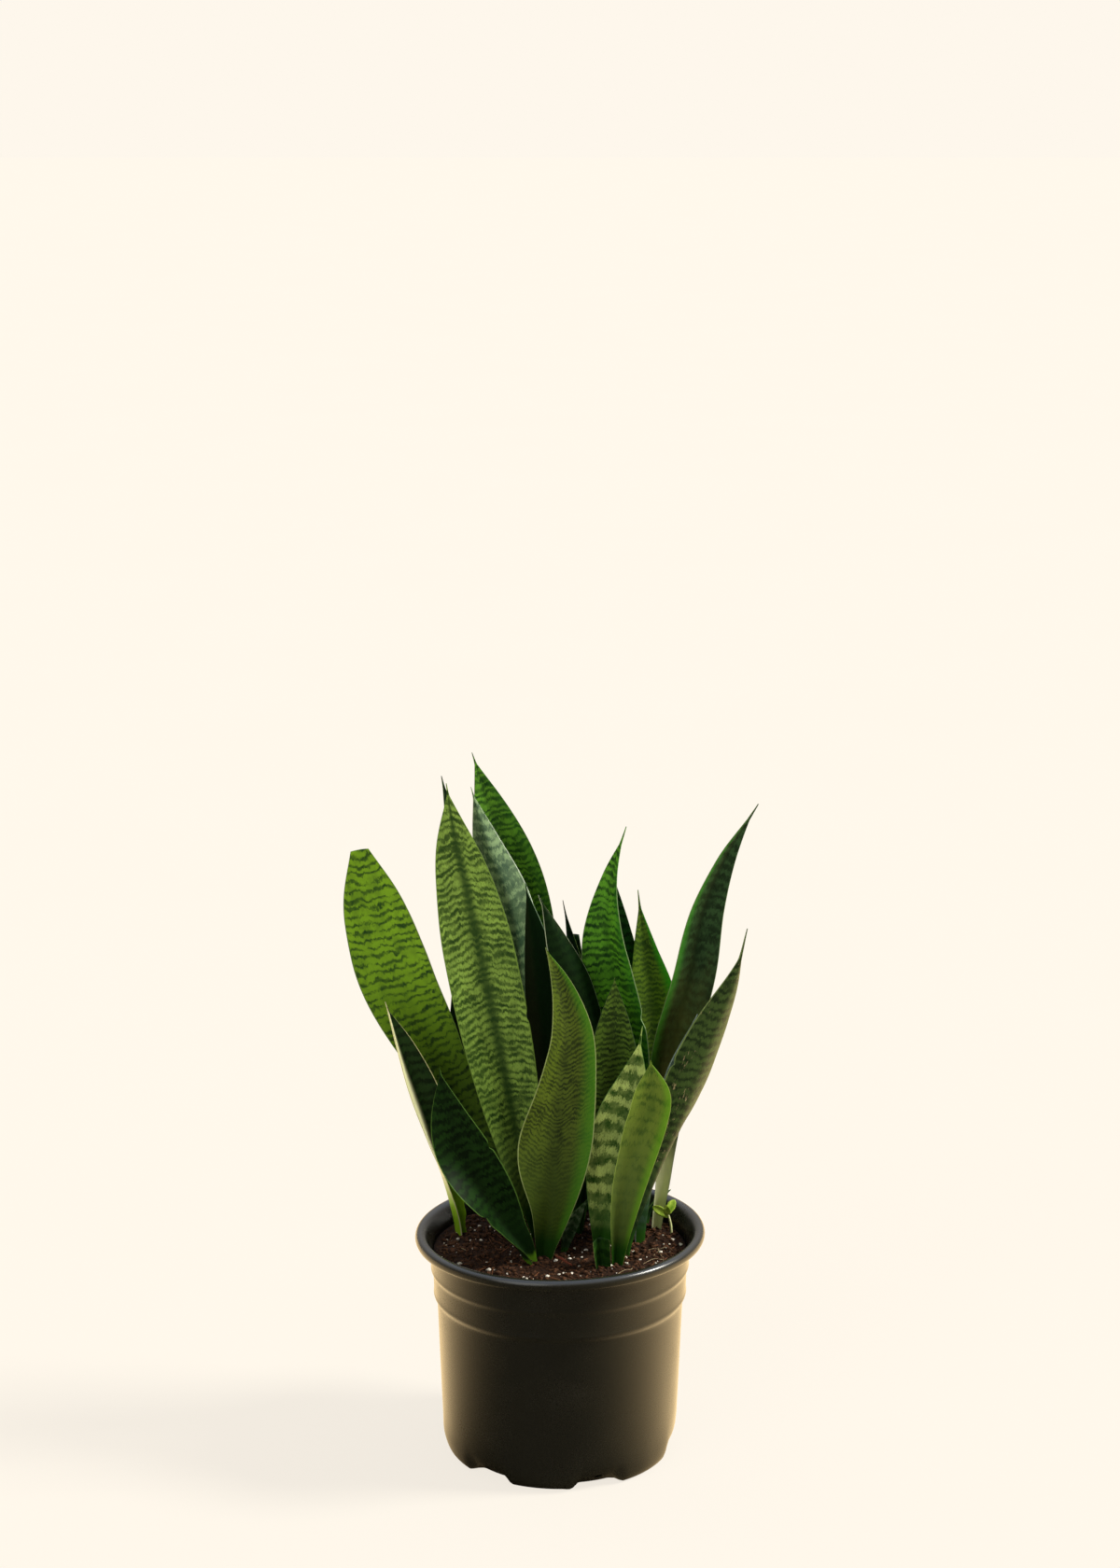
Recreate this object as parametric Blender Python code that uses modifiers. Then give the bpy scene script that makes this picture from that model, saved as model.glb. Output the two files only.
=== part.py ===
"""A potted snake plant: a blow-moulded nursery pot filled with potting mix, and the
leaves of its clumps, which stand on rhizomes buried in the mix.

Metres, +Z up. The origin is the middle of the pot's flat underside; -Y is the front.
"""

import math
from typing import NamedTuple

import bmesh
import bpy
from mathutils import Vector, noise

MM = 0.001

# Pot. Its section runs from the middle of the floor, out and up the inside, over the
# lip, round the lip's turned-down edge, and down the outside. Radius and height in mm.
POT_SECTION = (
    (0, 1.8), (64, 1.8), (74, 2.2), (79.4, 6), (81.7, 14), (83.6, 60), (85.7, 113.4),
    (87.6, 117.6), (88.3, 133.2), (89.5, 136.6), (90.2, 152), (92.4, 157.6), (94.8, 162.6),
    (98.2, 164.5), (101.2, 163.4), (102.5, 160.4), (101.6, 157.4), (99.8, 156.2),
    (99.0, 157.4), (100.4, 158.6), (101.1, 160.4), (100.2, 162.2), (98.2, 163.1),
    (95.8, 161.6), (93.7, 156.8), (91.5, 151.4), (91.0, 139.4), (91.4, 137.2),
    (90.4, 135.0), (89.6, 133.0), (89.2, 120.0), (89.7, 118.0), (88.6, 115.4),
    (87.0, 113.0), (84.9, 60), (83.0, 14), (81.2, 5.4), (78, 0.9), (75, 0), (66, 0), (0, 0),
)
TURNS = 48
TURN_START = math.radians(5)
FEET = 6
FOOT_TURN = math.radians(-10)
GAP_HALF_TURN = math.radians(8)
GAP_RAMP = math.radians(7)
GAP_LIFT = 6.0 * MM
GAP_INSET = 1.6 * MM
GAP_REACH = 24 * MM
DISC_RADIUS = 66 * MM
DRAIN_RADIUS = 2.8 * MM
DRAIN_PLACE = (77.2 * MM, 8.4 * MM)
RIM_TILT = math.radians(0.9)
RIM_TILT_FROM = 100 * MM
RIM_TILT_FULL = 150 * MM

# Potting mix, its section running from the middle of the surface out and down
MIX_LEVEL = 150 * MM
MIX_SECTION = (
    (0, 150), (22, 150), (42, 150), (60, 150), (76, 150), (89.4, 148.6), (88.9, 138),
    (87.0, 131), (85.0, 112), (81.4, 24), (78, 16), (0, 16),
)
BUMP_HEIGHT = 2.4 * MM
BUMP_SPACING = 26 * MM
FIT = 0.35 * MM

# Leaves
LEAF_ROWS = 10
LEAF_COLUMNS = 4
WIDTH_SHARES = (0, 0.15, 0.35, 0.55, 0.75, 0.9, 1)
BURIED = 22 * MM
FOOT_LEAN = 0.3
FOOT_ROOM = 3
BASE_THICKNESS = 4.4 * MM
MIDDLE_THICKNESS = 2.4 * MM
TIP_THICKNESS = 1.5 * MM
MARGIN_THICKNESS = 1.0 * MM
SPINE_THICKNESS = 1.2 * MM
CREASE = 0.3

# Rhizomes
RHIZOME_RADIUS = 6.5 * MM
STANDING_GAP = 0.35 * MM


class Leaf(NamedTuple):
    """One leaf, in millimetres and degrees.

    midrib: points from the surface of the mix up to the tip.
    widths: across the leaf at WIDTH_SHARES of the way up, ending where the spine begins.
    faces: where the hollow side looks, from base to tip (0 is the front, 90 the right).
    folds: how far each half is folded up from flat, from base to tip.
    spine: length of the needle at the tip; a leaf that was cut off has none.
    """

    name: str
    midrib: tuple
    widths: tuple
    faces: tuple
    folds: tuple = (52, 26, 18, 22)
    spine: float = 9


LEAVES = (
    # The left side
    Leaf("leaf_left_broad_cut",
         ((-42, 36, 150), (-64, 34, 231), (-91, 28, 289), (-114, 20, 343), (-126, 14, 386),
          (-138, 8, 437)),
         (14, 22, 32, 49, 53, 38, 13), (0, 10, -5, -10), (45, 18, 10, 8), 0),
    Leaf("leaf_left_narrow",
         ((-73, 26, 150), (-82, 24, 192), (-96, 14, 239), (-110, 4, 287), (-121, -6, 332)),
         (14, 26, 36, 38, 30, 16, 2), (60, 50, 45, 50), (55, 48, 45, 45)),
    Leaf("leaf_left_dark_needle",
         ((-42, 54, 150), (-52, 54, 220), (-67, 50, 280), (-77, 48, 336)),
         (12, 20, 28, 29, 24, 12, 2), (0, 0, 0, 0), (50, 28, 22, 22)),
    Leaf("leaf_front_left_dark",
         ((-23, -31, 150), (-40, -36, 180), (-58, -38, 215), (-74, -37, 254), (-83, -34, 293)),
         (14, 26, 40, 43, 34, 17, 2), (70, 40, 5, -10), (55, 40, 22, 20), 6),
    # The centre
    Leaf("leaf_centre_tall",
         ((-16, 22, 150), (-25, 20, 195), (-39, 18, 272), (-52, 15, 341), (-65, 12, 409),
          (-72, 10, 443), (-78, 8, 484)),
         (15, 31, 47, 52, 47, 28, 2), (10, 5, 0, -5), (50, 24, 16, 20)),
    Leaf("leaf_centre_tall_hidden",
         ((-27, 62, 150), (-48, 62, 290), (-68, 57, 400), (-83, 52, 479)),
         (14, 22, 32, 34, 26, 12, 2), (0, 0, 10, 20), (50, 24, 18, 20)),
    Leaf("leaf_front_centre_twisted",
         ((-11, -19, 150), (-6, -21, 190), (-5, -22, 235), (0, -21, 275), (3, -19, 318),
          (-3, -17, 352), (-10, -16, 374)),
         (16, 32, 55, 51, 38, 19, 2), (0, 5, 30, 40), (50, 24, 26, 32), 5),
    # The back
    Leaf("leaf_back_tallest",
         ((-6, 71, 150), (-12, 75, 240), (-22, 76, 330), (-36, 74, 410), (-50, 71, 453),
          (-62, 69, 492)),
         (15, 28, 42, 47, 43, 25, 2), (0, 0, 5, 10), (50, 24, 16, 18)),
    Leaf("leaf_back_silver",
         ((-13, 45, 150), (-18, 46, 230), (-26, 45, 320), (-36, 43, 390), (-50, 41, 430),
          (-62, 40, 474)),
         (14, 24, 38, 42, 38, 22, 2), (180, 180, 185, 190), (50, 30, 32, 32)),
    Leaf("leaf_centre_dark",
         ((3, 42, 150), (-5, 30, 260), (-13, 27, 330), (-18, 25, 370), (-24, 24, 409)),
         (14, 22, 34, 37, 30, 15, 2), (170, 165, 160, 160), (50, 26, 22, 22)),
    Leaf("leaf_centre_dark_inner",
         ((9, 57, 150), (0, 59, 230), (-9, 60, 300), (-14, 59, 343)),
         (12, 19, 27, 28, 23, 12, 2), (180, 180, 175, 170), (50, 24, 18, 20)),
    Leaf("leaf_centre_dark_leaning",
         ((14, 22, 150), (20, 20, 230), (21, 20, 290), (13, 18, 332), (-1, 15, 370),
          (-15, 12, 404)),
         (14, 26, 38, 40, 33, 17, 2), (200, 205, 215, 220), (50, 26, 22, 22)),
    Leaf("leaf_back_needle",
         ((22, 70, 150), (22, 72, 230), (14, 72, 320), (2, 70, 384)),
         (10, 14, 18, 18, 14, 8, 2), (0, 0, 0, 0), (50, 28, 22, 22), 14),
    Leaf("leaf_back_cut",
         ((9, 77, 150), (9, 86, 250), (10, 88, 354)),
         (12, 18, 24, 24, 20, 15, 8), (0, 0, 0, 0), (50, 28, 22, 20), 0),
    # The right side
    Leaf("leaf_mid_right_tall",
         ((34, 48, 150), (43, 46, 230), (44, 42, 290), (37, 38, 340), (33, 34, 375),
          (36, 30, 412), (46, 26, 449)),
         (14, 28, 44, 46, 36, 15, 2), (0, -10, -25, -30), (50, 24, 22, 26), 14),
    Leaf("leaf_mid_right_behind",
         ((36, 68, 150), (47, 66, 260), (44, 62, 330), (38, 58, 408)),
         (13, 22, 32, 35, 28, 14, 2), (0, 5, 10, 15), (50, 26, 20, 22)),
    Leaf("leaf_mid_right_short",
         ((50, 55, 150), (63, 60, 240), (66, 58, 310), (60, 56, 350), (55, 54, 396)),
         (13, 24, 38, 40, 32, 15, 2), (0, 5, 10, 15), (50, 24, 18, 20), 14),
    Leaf("leaf_right_tall",
         ((69, 35, 150), (74, 36, 190), (77, 32, 255), (82, 26, 300), (91, 18, 345),
          (100, 14, 395), (113, 10, 430), (136, 6, 470)),
         (12, 18, 38, 38, 31, 16, 2), (0, -5, 15, 30), (55, 42, 32, 28), 13),
    Leaf("leaf_right_low",
         ((47, -17, 150), (66, -9, 205), (86, -10, 256), (105, -13, 310), (121, -18, 355),
          (128, -22, 389)),
         (13, 24, 38, 42, 32, 17, 2), (-120, -135, -145, -140), (50, 30, 22, 22), 22),
    Leaf("leaf_right_sliver",
         ((58, 8, 150), (71, 10, 226), (82, 12, 281), (96, 10, 318)),
         (12, 18, 24, 26, 20, 10, 2), (-95, -100, -105, -105), (50, 32, 26, 26), 8),
    Leaf("leaf_mid_short_dark",
         ((36, 26, 150), (38, 18, 220), (37, 12, 290), (38, 8, 345)),
         (14, 26, 40, 42, 34, 18, 2), (0, 0, 5, 5), (50, 26, 20, 22), 4),
    Leaf("leaf_front_banded",
         ((30, -6, 150), (35, -11, 190), (43, -14, 240), (51, -16, 275), (57, -17, 318)),
         (14, 26, 40, 44, 34, 16, 2), (-10, -10, -15, -20), (50, 28, 24, 26), 14),
    Leaf("leaf_front_bright_tip",
         ((39, -31, 150), (46, -35, 205), (56, -38, 245), (63, -40, 275), (62, -41, 301)),
         (13, 19, 26, 30, 31, 24, 2), (10, 5, 0, 0), (55, 36, 28, 22), 3),
    Leaf("leaf_front_edge_on",
         ((25, 8, 150), (22, 5, 194), (18, 4, 229), (21, 4, 258)),
         (10, 16, 22, 22, 16, 8, 2), (80, 78, 75, 75), (50, 34, 30, 28), 4),
    # Young growth, and the foot of a leaf that was cut away
    Leaf("pup_leaf_mottled",
         ((2, -7, 150), (8, -10, 171), (19, -14, 190)),
         (7, 9, 11, 11, 8, 4, 1.6), (20, 15, 10, 10), (50, 34, 26, 24), 2),
    Leaf("pup_leaf_back_right",
         ((62, 46, 150), (68, 50, 162), (80, 54, 172)),
         (6, 7, 8, 7, 5, 3, 1.4), (-90, -90, -90, -90), (50, 34, 26, 24), 3),
    Leaf("leaf_stub_cut",
         ((29, -37, 150), (28, -37, 160), (27, -37, 171)),
         (17, 18, 19, 20, 20, 20, 20), (10, 10, 10, 10), (54, 54, 54, 54), 0),
)

# Each rhizome runs under the feet of these leaves.
RHIZOMES = (
    ("rhizome_left", ("leaf_left_narrow", "leaf_left_broad_cut")),
    ("rhizome_back_left", ("leaf_left_dark_needle", "leaf_centre_tall_hidden")),
    ("rhizome_front", ("leaf_front_left_dark", "leaf_front_centre_twisted",
                       "pup_leaf_mottled", "leaf_centre_dark_leaning")),
    ("rhizome_centre", ("leaf_centre_tall", "leaf_back_silver", "leaf_back_tallest",
                        "leaf_back_cut")),
    ("rhizome_back", ("leaf_centre_dark", "leaf_centre_dark_inner", "leaf_back_needle",
                      "leaf_mid_right_behind")),
    ("rhizome_mid_right", ("leaf_mid_right_tall", "leaf_mid_right_short")),
    ("rhizome_right", ("leaf_right_sliver", "leaf_right_tall")),
    ("rhizome_front_right", ("leaf_stub_cut", "leaf_front_bright_tip", "leaf_right_low",
                             "leaf_front_banded", "leaf_front_edge_on",
                             "leaf_mid_short_dark")),
)

# Small things on the surface, in millimetres
TWIG = ((-3, -27, 153.0), (1, -33, 153.6), (4, -38, 153.2), (8, -44, 153.4))
TWIG_RADIUS = 0.9 * MM
SEEDLING_STEM = ((79, 20, 138), (79.5, 20, 150), (79, 21, 158), (77, 23, 166))
SEEDLING_STEM_RADIUS = 0.9 * MM
SEEDLING_BLADES = (
    ((77.5, 22.5, 163), (71, 24, 168), (66, 25, 170), 6),
    ((77, 23, 165), (79, 26, 171), (82, 28, 174), 6),
    ((77, 23, 164), (76, 19, 170), (75, 17, 174), 5),
)

COLOURS = {
    "leaf_green": (0.10, 0.22, 0.035, 0.42),
    "leaf_dark_green": (0.018, 0.055, 0.014, 0.38),
    "leaf_pale_green": (0.20, 0.30, 0.08, 0.42),
    "pot_black": (0.012, 0.012, 0.010, 0.38),
    "mix_brown": (0.028, 0.014, 0.009, 0.95),
    "rhizome_cream": (0.62, 0.42, 0.20, 0.6),
    "seedling_green": (0.30, 0.50, 0.04, 0.5),
    "twig_brown": (0.12, 0.035, 0.02, 0.8),
}
DARK_LEAVES = ("leaf_left_dark_needle", "leaf_front_left_dark", "leaf_centre_dark",
               "leaf_centre_dark_inner", "leaf_centre_dark_leaning", "leaf_back_needle",
               "leaf_right_low", "leaf_right_sliver", "leaf_mid_short_dark",
               "pup_leaf_back_right", "leaf_left_narrow")
PALE_LEAVES = ("leaf_front_banded", "leaf_front_bright_tip", "pup_leaf_mottled")


# ---------------------------------------------------------------- scene and materials

for obj in list(bpy.data.objects):
    bpy.data.objects.remove(obj)

PLANT = bpy.data.collections.new("potted_snake_plant")
CUTTERS = bpy.data.collections.new("potted_snake_plant_cutters")
bpy.context.scene.collection.children.link(PLANT)
bpy.context.scene.collection.children.link(CUTTERS)
CUTTERS.hide_render = True

MATERIALS = {}
for title, (red, green, blue, rough) in COLOURS.items():
    material = bpy.data.materials.new(title)
    material.use_nodes = True
    shader = material.node_tree.nodes["Principled BSDF"]
    shader.inputs["Base Color"].default_value = (red, green, blue, 1)
    shader.inputs["Roughness"].default_value = rough
    shader.inputs["Metallic"].default_value = 0
    MATERIALS[title] = material


def place(name, mesh, material=None):
    """Puts a mesh in the plant's collection, or among the cutters if it has no material."""
    obj = bpy.data.objects.new(name, mesh)
    if material is None:
        CUTTERS.objects.link(obj)
        obj.hide_render = True
        obj.display_type = "WIRE"
        return obj
    PLANT.objects.link(obj)
    mesh.materials.clear()
    mesh.materials.append(MATERIALS[material])
    for polygon in mesh.polygons:
        polygon.use_smooth = True
    return obj


def evaluated_mesh(obj):
    """The mesh an object makes once its modifiers are applied."""
    graph = bpy.context.evaluated_depsgraph_get()
    return bpy.data.meshes.new_from_object(obj.evaluated_get(graph))


def weld(mesh):
    """Joins vertices that share a place, and turns every face outward."""
    shape = bmesh.new()
    shape.from_mesh(mesh)
    bmesh.ops.remove_doubles(shape, verts=shape.verts, dist=1e-6)
    bmesh.ops.recalc_face_normals(shape, faces=shape.faces)
    shape.to_mesh(mesh)
    shape.free()


def cut(obj, cutter):
    """Takes the cutter's shape out of an object."""
    modifier = obj.modifiers.new("cut_" + cutter.name, "BOOLEAN")
    modifier.operation = "DIFFERENCE"
    modifier.solver = "EXACT"
    modifier.object = cutter


def smooth(places, values, place_wanted):
    """A smooth line through values given at rising places; values may be vectors."""
    last = len(places) - 1
    slopes = [(values[i + 1] - values[i]) / (places[i + 1] - places[i]) for i in range(last)]
    tangents = [slopes[0]]
    for i in range(1, last):
        before = places[i] - places[i - 1]
        after = places[i + 1] - places[i]
        tangents.append((slopes[i - 1] * after + slopes[i] * before) / (before + after))
    tangents.append(slopes[-1])
    i = 0
    while i < last - 1 and place_wanted > places[i + 1]:
        i += 1
    gap = places[i + 1] - places[i]
    t = (place_wanted - places[i]) / gap
    start = values[i] * (2 * t**3 - 3 * t**2 + 1) + tangents[i] * (gap * (t**3 - 2 * t**2 + t))
    end = values[i + 1] * (3 * t**2 - 2 * t**3) + tangents[i + 1] * (gap * (t**3 - t**2))
    return start + end


def ramp(value, low, high):
    """0 below low, 1 above high, and an easy curve between."""
    t = min(max((value - low) / (high - low), 0), 1)
    return t * t * (3 - 2 * t)


# ---------------------------------------------------------------- pot and potting mix

def lathe(name, section):
    """Turns a section, in millimetres, about the Z axis."""
    mesh = bpy.data.meshes.new(name)
    points = [(radius * MM, 0, height * MM) for radius, height in section]
    mesh.from_pydata(points, [(i, i + 1) for i in range(len(points) - 1)], [])
    obj = bpy.data.objects.new(name + "_section", mesh)
    CUTTERS.objects.link(obj)
    screw = obj.modifiers.new("turn", "SCREW")
    screw.axis = "Z"
    screw.steps = TURNS
    screw.render_steps = TURNS
    screw.use_merge_vertices = True
    screw.merge_threshold = 0.00001
    turned = evaluated_mesh(obj)
    bpy.data.objects.remove(obj)
    weld(turned)
    return turned


def gap_share(angle):
    """How fully a bearing lies in a gap between two feet: 0 on a foot, 1 in a gap."""
    period = 2 * math.pi / FEET
    from_gap = (angle + math.pi / 2 - FOOT_TURN - period / 2) % period
    from_gap = min(from_gap, period - from_gap)
    return 1 - ramp(from_gap, GAP_HALF_TURN, GAP_HALF_TURN + GAP_RAMP)


def shape_pot(point):
    """Lifts the pot's bottom corner between its feet, and sets its rim slightly askew."""
    radius = math.hypot(point.x, point.y)
    angle = math.atan2(point.y, point.x)
    share = gap_share(angle) * (1 - ramp(point.z, 0, GAP_REACH))
    share *= ramp(radius, DISC_RADIUS, 76 * MM)
    inward = 1 - share * GAP_INSET / max(radius, DISC_RADIUS)
    tilt = ramp(point.z, RIM_TILT_FROM, RIM_TILT_FULL) * math.tan(RIM_TILT)
    height = point.z + share * GAP_LIFT + point.x * tilt
    return Vector((point.x * inward, point.y * inward, height))


def turned(point):
    """A point turned about Z so that the pot's facets fall evenly on its feet."""
    cos, sin = math.cos(TURN_START), math.sin(TURN_START)
    return Vector((point.x * cos - point.y * sin, point.x * sin + point.y * cos, point.z))


def mix_height(x, y):
    """How far the surface of the potting mix stands above or below its level."""
    place_here = Vector((x / BUMP_SPACING, y / BUMP_SPACING, 4.2))
    mound = 2.0 * MM * math.exp(-((x + 30 * MM) ** 2 + (y + 22 * MM) ** 2) / (18 * MM) ** 2)
    return BUMP_HEIGHT * noise.noise(place_here) + mound


pot_mesh = lathe("nursery_pot", POT_SECTION)
for vertex in pot_mesh.vertices:
    vertex.co = shape_pot(turned(vertex.co))
pot = place("nursery_pot", pot_mesh, "pot_black")

for number in range(FEET):
    bearing = -math.pi / 2 + FOOT_TURN + (number + 0.5) * 2 * math.pi / FEET
    drain = bmesh.new()
    bmesh.ops.create_cone(drain, cap_ends=True, segments=12, radius1=DRAIN_RADIUS,
                          radius2=DRAIN_RADIUS, depth=9 * MM)
    drain_mesh = bpy.data.meshes.new("drain")
    drain.to_mesh(drain_mesh)
    drain.free()
    drain_hole = place(f"drain_{number}", drain_mesh)
    drain_hole.location = (DRAIN_PLACE[0] * math.cos(bearing),
                           DRAIN_PLACE[0] * math.sin(bearing), DRAIN_PLACE[1])
    drain_hole.rotation_euler = (0, math.radians(130), bearing)
    cut(pot, drain_hole)

mix_mesh = lathe("potting_mix", MIX_SECTION)
for vertex in mix_mesh.vertices:
    vertex.co = turned(vertex.co)
    if vertex.co.z > MIX_LEVEL - 1 * MM:
        vertex.co.z += mix_height(vertex.co.x, vertex.co.y)
mix = place("potting_mix", mix_mesh, "mix_brown")


# ---------------------------------------------------------------- leaves

def midrib_line(leaf):
    """Lengths along the midrib, from the buried foot to the tip, and its points."""
    points = [Vector(point) * MM for point in leaf.midrib]
    lean = (points[1] - points[0]).normalized()
    foot = points[0] - Vector((lean.x * FOOT_LEAN, lean.y * FOOT_LEAN, 1)) * BURIED
    points.insert(0, foot)
    lengths = [-BURIED]
    for before, after in zip(points, points[1:]):
        lengths.append(lengths[-1] + (after - before).length)
    shift = lengths[1]
    return [length - shift for length in lengths], points


def leaf_rings(leaf, grow=0.0):
    """The leaf's cross-sections from foot to tip, each a front row and a back row."""
    lengths, points = midrib_line(leaf)
    top = lengths[-1]
    body = top - leaf.spine * MM
    even = [i / (len(leaf.faces) - 1) for i in range(len(leaf.faces))]
    stations = [lengths[0], 0.0]
    stations += [body * row / LEAF_ROWS for row in range(1, LEAF_ROWS + 1)]
    if leaf.spine:
        stations.append(top)
    rings = []
    for length in stations:
        share = min(max(length / body, 0), 1)
        centre = smooth(lengths, points, length)
        ahead = smooth(lengths, points, min(length + 1 * MM, top))
        behind = smooth(lengths, points, max(length - 1 * MM, lengths[0]))
        along = (ahead - behind).normalized()
        bearing = math.radians(smooth(even, leaf.faces, share))
        face = Vector((math.sin(bearing), -math.cos(bearing), 0))
        face = (face - along * face.dot(along)).normalized()
        across = along.cross(face)
        fold = math.radians(smooth(even, leaf.folds, share))
        half = smooth(WIDTH_SHARES, leaf.widths, share) * MM / 2
        middle = BASE_THICKNESS + (MIDDLE_THICKNESS - BASE_THICKNESS) * ramp(share, -0.1, 0.35)
        middle += (TIP_THICKNESS - MIDDLE_THICKNESS) * ramp(share, 0.6, 1)
        margin = MARGIN_THICKNESS
        if leaf.spine and length == top:
            half = SPINE_THICKNESS / 4
            middle = margin = SPINE_THICKNESS / 2
        half += grow
        front = []
        back = []
        for column in range(LEAF_COLUMNS + 1):
            u = 2 * column / LEAF_COLUMNS - 1
            bend = (math.hypot(u, CREASE) - CREASE) / (math.hypot(1, CREASE) - CREASE)
            spot = centre + across * (half * u * math.cos(fold)) + face * (half * bend * math.sin(fold))
            deep = (margin + (middle - margin) * (1 - u * u)) / 2 + grow
            front.append(spot + face * deep)
            back.append(spot - face * deep)
        if length == stations[0]:
            level = centre.z - grow * FOOT_ROOM
            front = [spot - along * ((spot.z - level) / along.z) for spot in front]
            back = [spot - along * ((spot.z - level) / along.z) for spot in back]
        rings.append(front + back)
    return rings


def loft(name, rings):
    """Skins cross-sections that each have a front row and a back row, and caps the ends."""
    size = len(rings[0])
    wide = size // 2
    loop = list(range(wide)) + list(range(size - 1, wide - 1, -1))
    faces = []
    for row in range(len(rings) - 1):
        low, high = row * size, (row + 1) * size
        for here, after in zip(loop, loop[1:] + loop[:1]):
            faces.append((low + here, low + after, high + after, high + here))
    for row in (0, len(rings) - 1):
        for column in range(wide - 1):
            at = row * size + column
            faces.append((at, at + 1, at + 1 + wide, at + wide))
    mesh = bpy.data.meshes.new(name)
    mesh.from_pydata([point for ring in rings for point in ring], [], faces)
    weld(mesh)
    return mesh


FEET_OF_LEAVES = {}
for leaf in LEAVES:
    if leaf.name in DARK_LEAVES:
        colour = "leaf_dark_green"
    elif leaf.name in PALE_LEAVES:
        colour = "leaf_pale_green"
    else:
        colour = "leaf_green"
    place(leaf.name, loft(leaf.name, leaf_rings(leaf)), colour)
    pocket_rings = leaf_rings(leaf, FIT)
    while pocket_rings[-2][0].z > MIX_LEVEL + 9 * MM:
        pocket_rings.pop()
    cut(mix, place("pocket_" + leaf.name, loft("pocket_" + leaf.name, pocket_rings)))
    FEET_OF_LEAVES[leaf.name] = midrib_line(leaf)[1][0]


# ---------------------------------------------------------------- rhizomes and small things

def tube(name, points, radius):
    """A round rod along a smooth line, with closed ends."""
    curve = bpy.data.curves.new(name, "CURVE")
    curve.dimensions = "3D"
    curve.bevel_depth = radius
    curve.bevel_resolution = 2
    curve.use_fill_caps = True
    curve.resolution_u = 3
    line = curve.splines.new("BEZIER")
    line.bezier_points.add(len(points) - 1)
    for handle, point in zip(line.bezier_points, points):
        handle.co = point
        handle.handle_left_type = "AUTO"
        handle.handle_right_type = "AUTO"
    rod = bpy.data.objects.new(name, curve)
    CUTTERS.objects.link(rod)
    mesh = evaluated_mesh(rod)
    bpy.data.objects.remove(rod)
    weld(mesh)
    return mesh


def stretched(points, extra):
    """The same line with its two ends carried on by a little."""
    points = [Vector(point) for point in points]
    start = points[0] + (points[0] - points[1]).normalized() * extra
    end = points[-1] + (points[-1] - points[-2]).normalized() * extra
    return [start] + points[1:-1] + [end]


for name, standing in RHIZOMES:
    depth = Vector((0, 0, STANDING_GAP + RHIZOME_RADIUS))
    run = [FEET_OF_LEAVES[leaf_name] - depth for leaf_name in standing]
    place(name, tube(name, run, RHIZOME_RADIUS), "rhizome_cream")
    room = tube("room_" + name, stretched(run, FIT), RHIZOME_RADIUS + FIT)
    cut(mix, place("room_" + name, room))

twig_line = [Vector(point) * MM for point in TWIG]
place("twig", tube("twig", twig_line, TWIG_RADIUS), "twig_brown")

stem_line = [Vector(point) * MM for point in SEEDLING_STEM]
seedling = place("weed_seedling", tube("weed_seedling", stem_line, SEEDLING_STEM_RADIUS),
                 "seedling_green")
stem_room = tube("room_seedling", stretched(stem_line, FIT), SEEDLING_STEM_RADIUS + FIT)
cut(mix, place("room_seedling", stem_room))
for number, (root, middle, tip, width) in enumerate(SEEDLING_BLADES):
    blade = Leaf(f"blade_{number}", (root, middle, tip), (width / 3, width, width, width, width,
                 width / 2, 1), (0, 0, 0, 0), (0, 0, 0, 0), 0)
    blade_rings = leaf_rings(blade)[1:]
    blade_object = place(blade.name, loft(blade.name, blade_rings))
    join = seedling.modifiers.new("join_" + blade.name, "BOOLEAN")
    join.operation = "UNION"
    join.solver = "EXACT"
    join.object = blade_object
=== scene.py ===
# %% [markdown]
# # A potted snake plant
# A snake plant grows stiff, sword-shaped leaves from a creeping stem, the rhizome.
# This one stands in a black blow-moulded nursery pot full of potting mix.
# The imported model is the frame: it holds every part at its true place and size.
# Each part is rebuilt here in fine detail, and rides on the frame's one body.

# %% Open the frame
import math
import random
from typing import NamedTuple

import bmesh
import bpy
import numpy as np
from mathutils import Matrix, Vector, noise


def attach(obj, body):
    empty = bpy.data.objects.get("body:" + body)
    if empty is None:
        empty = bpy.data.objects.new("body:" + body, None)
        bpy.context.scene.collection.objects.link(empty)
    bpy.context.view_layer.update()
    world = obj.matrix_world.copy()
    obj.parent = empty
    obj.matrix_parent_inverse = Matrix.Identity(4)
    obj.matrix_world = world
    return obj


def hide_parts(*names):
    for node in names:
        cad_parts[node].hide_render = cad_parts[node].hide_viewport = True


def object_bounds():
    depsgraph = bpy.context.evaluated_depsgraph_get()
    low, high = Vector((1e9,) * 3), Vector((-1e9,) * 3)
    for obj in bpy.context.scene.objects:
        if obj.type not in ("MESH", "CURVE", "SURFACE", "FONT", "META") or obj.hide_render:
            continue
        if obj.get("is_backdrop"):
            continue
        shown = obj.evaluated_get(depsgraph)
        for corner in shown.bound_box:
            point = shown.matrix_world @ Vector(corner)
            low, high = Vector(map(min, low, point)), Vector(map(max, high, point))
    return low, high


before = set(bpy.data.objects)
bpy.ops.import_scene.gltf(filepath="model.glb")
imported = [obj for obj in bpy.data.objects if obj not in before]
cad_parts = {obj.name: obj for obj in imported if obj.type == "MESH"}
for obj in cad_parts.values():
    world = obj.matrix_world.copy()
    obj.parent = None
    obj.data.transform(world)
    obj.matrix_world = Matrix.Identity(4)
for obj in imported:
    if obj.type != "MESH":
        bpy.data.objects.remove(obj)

MM = 0.001
cad_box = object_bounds()
print("frame box in mm", [round(v / MM, 1) for corner in cad_box for v in corner])
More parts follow.
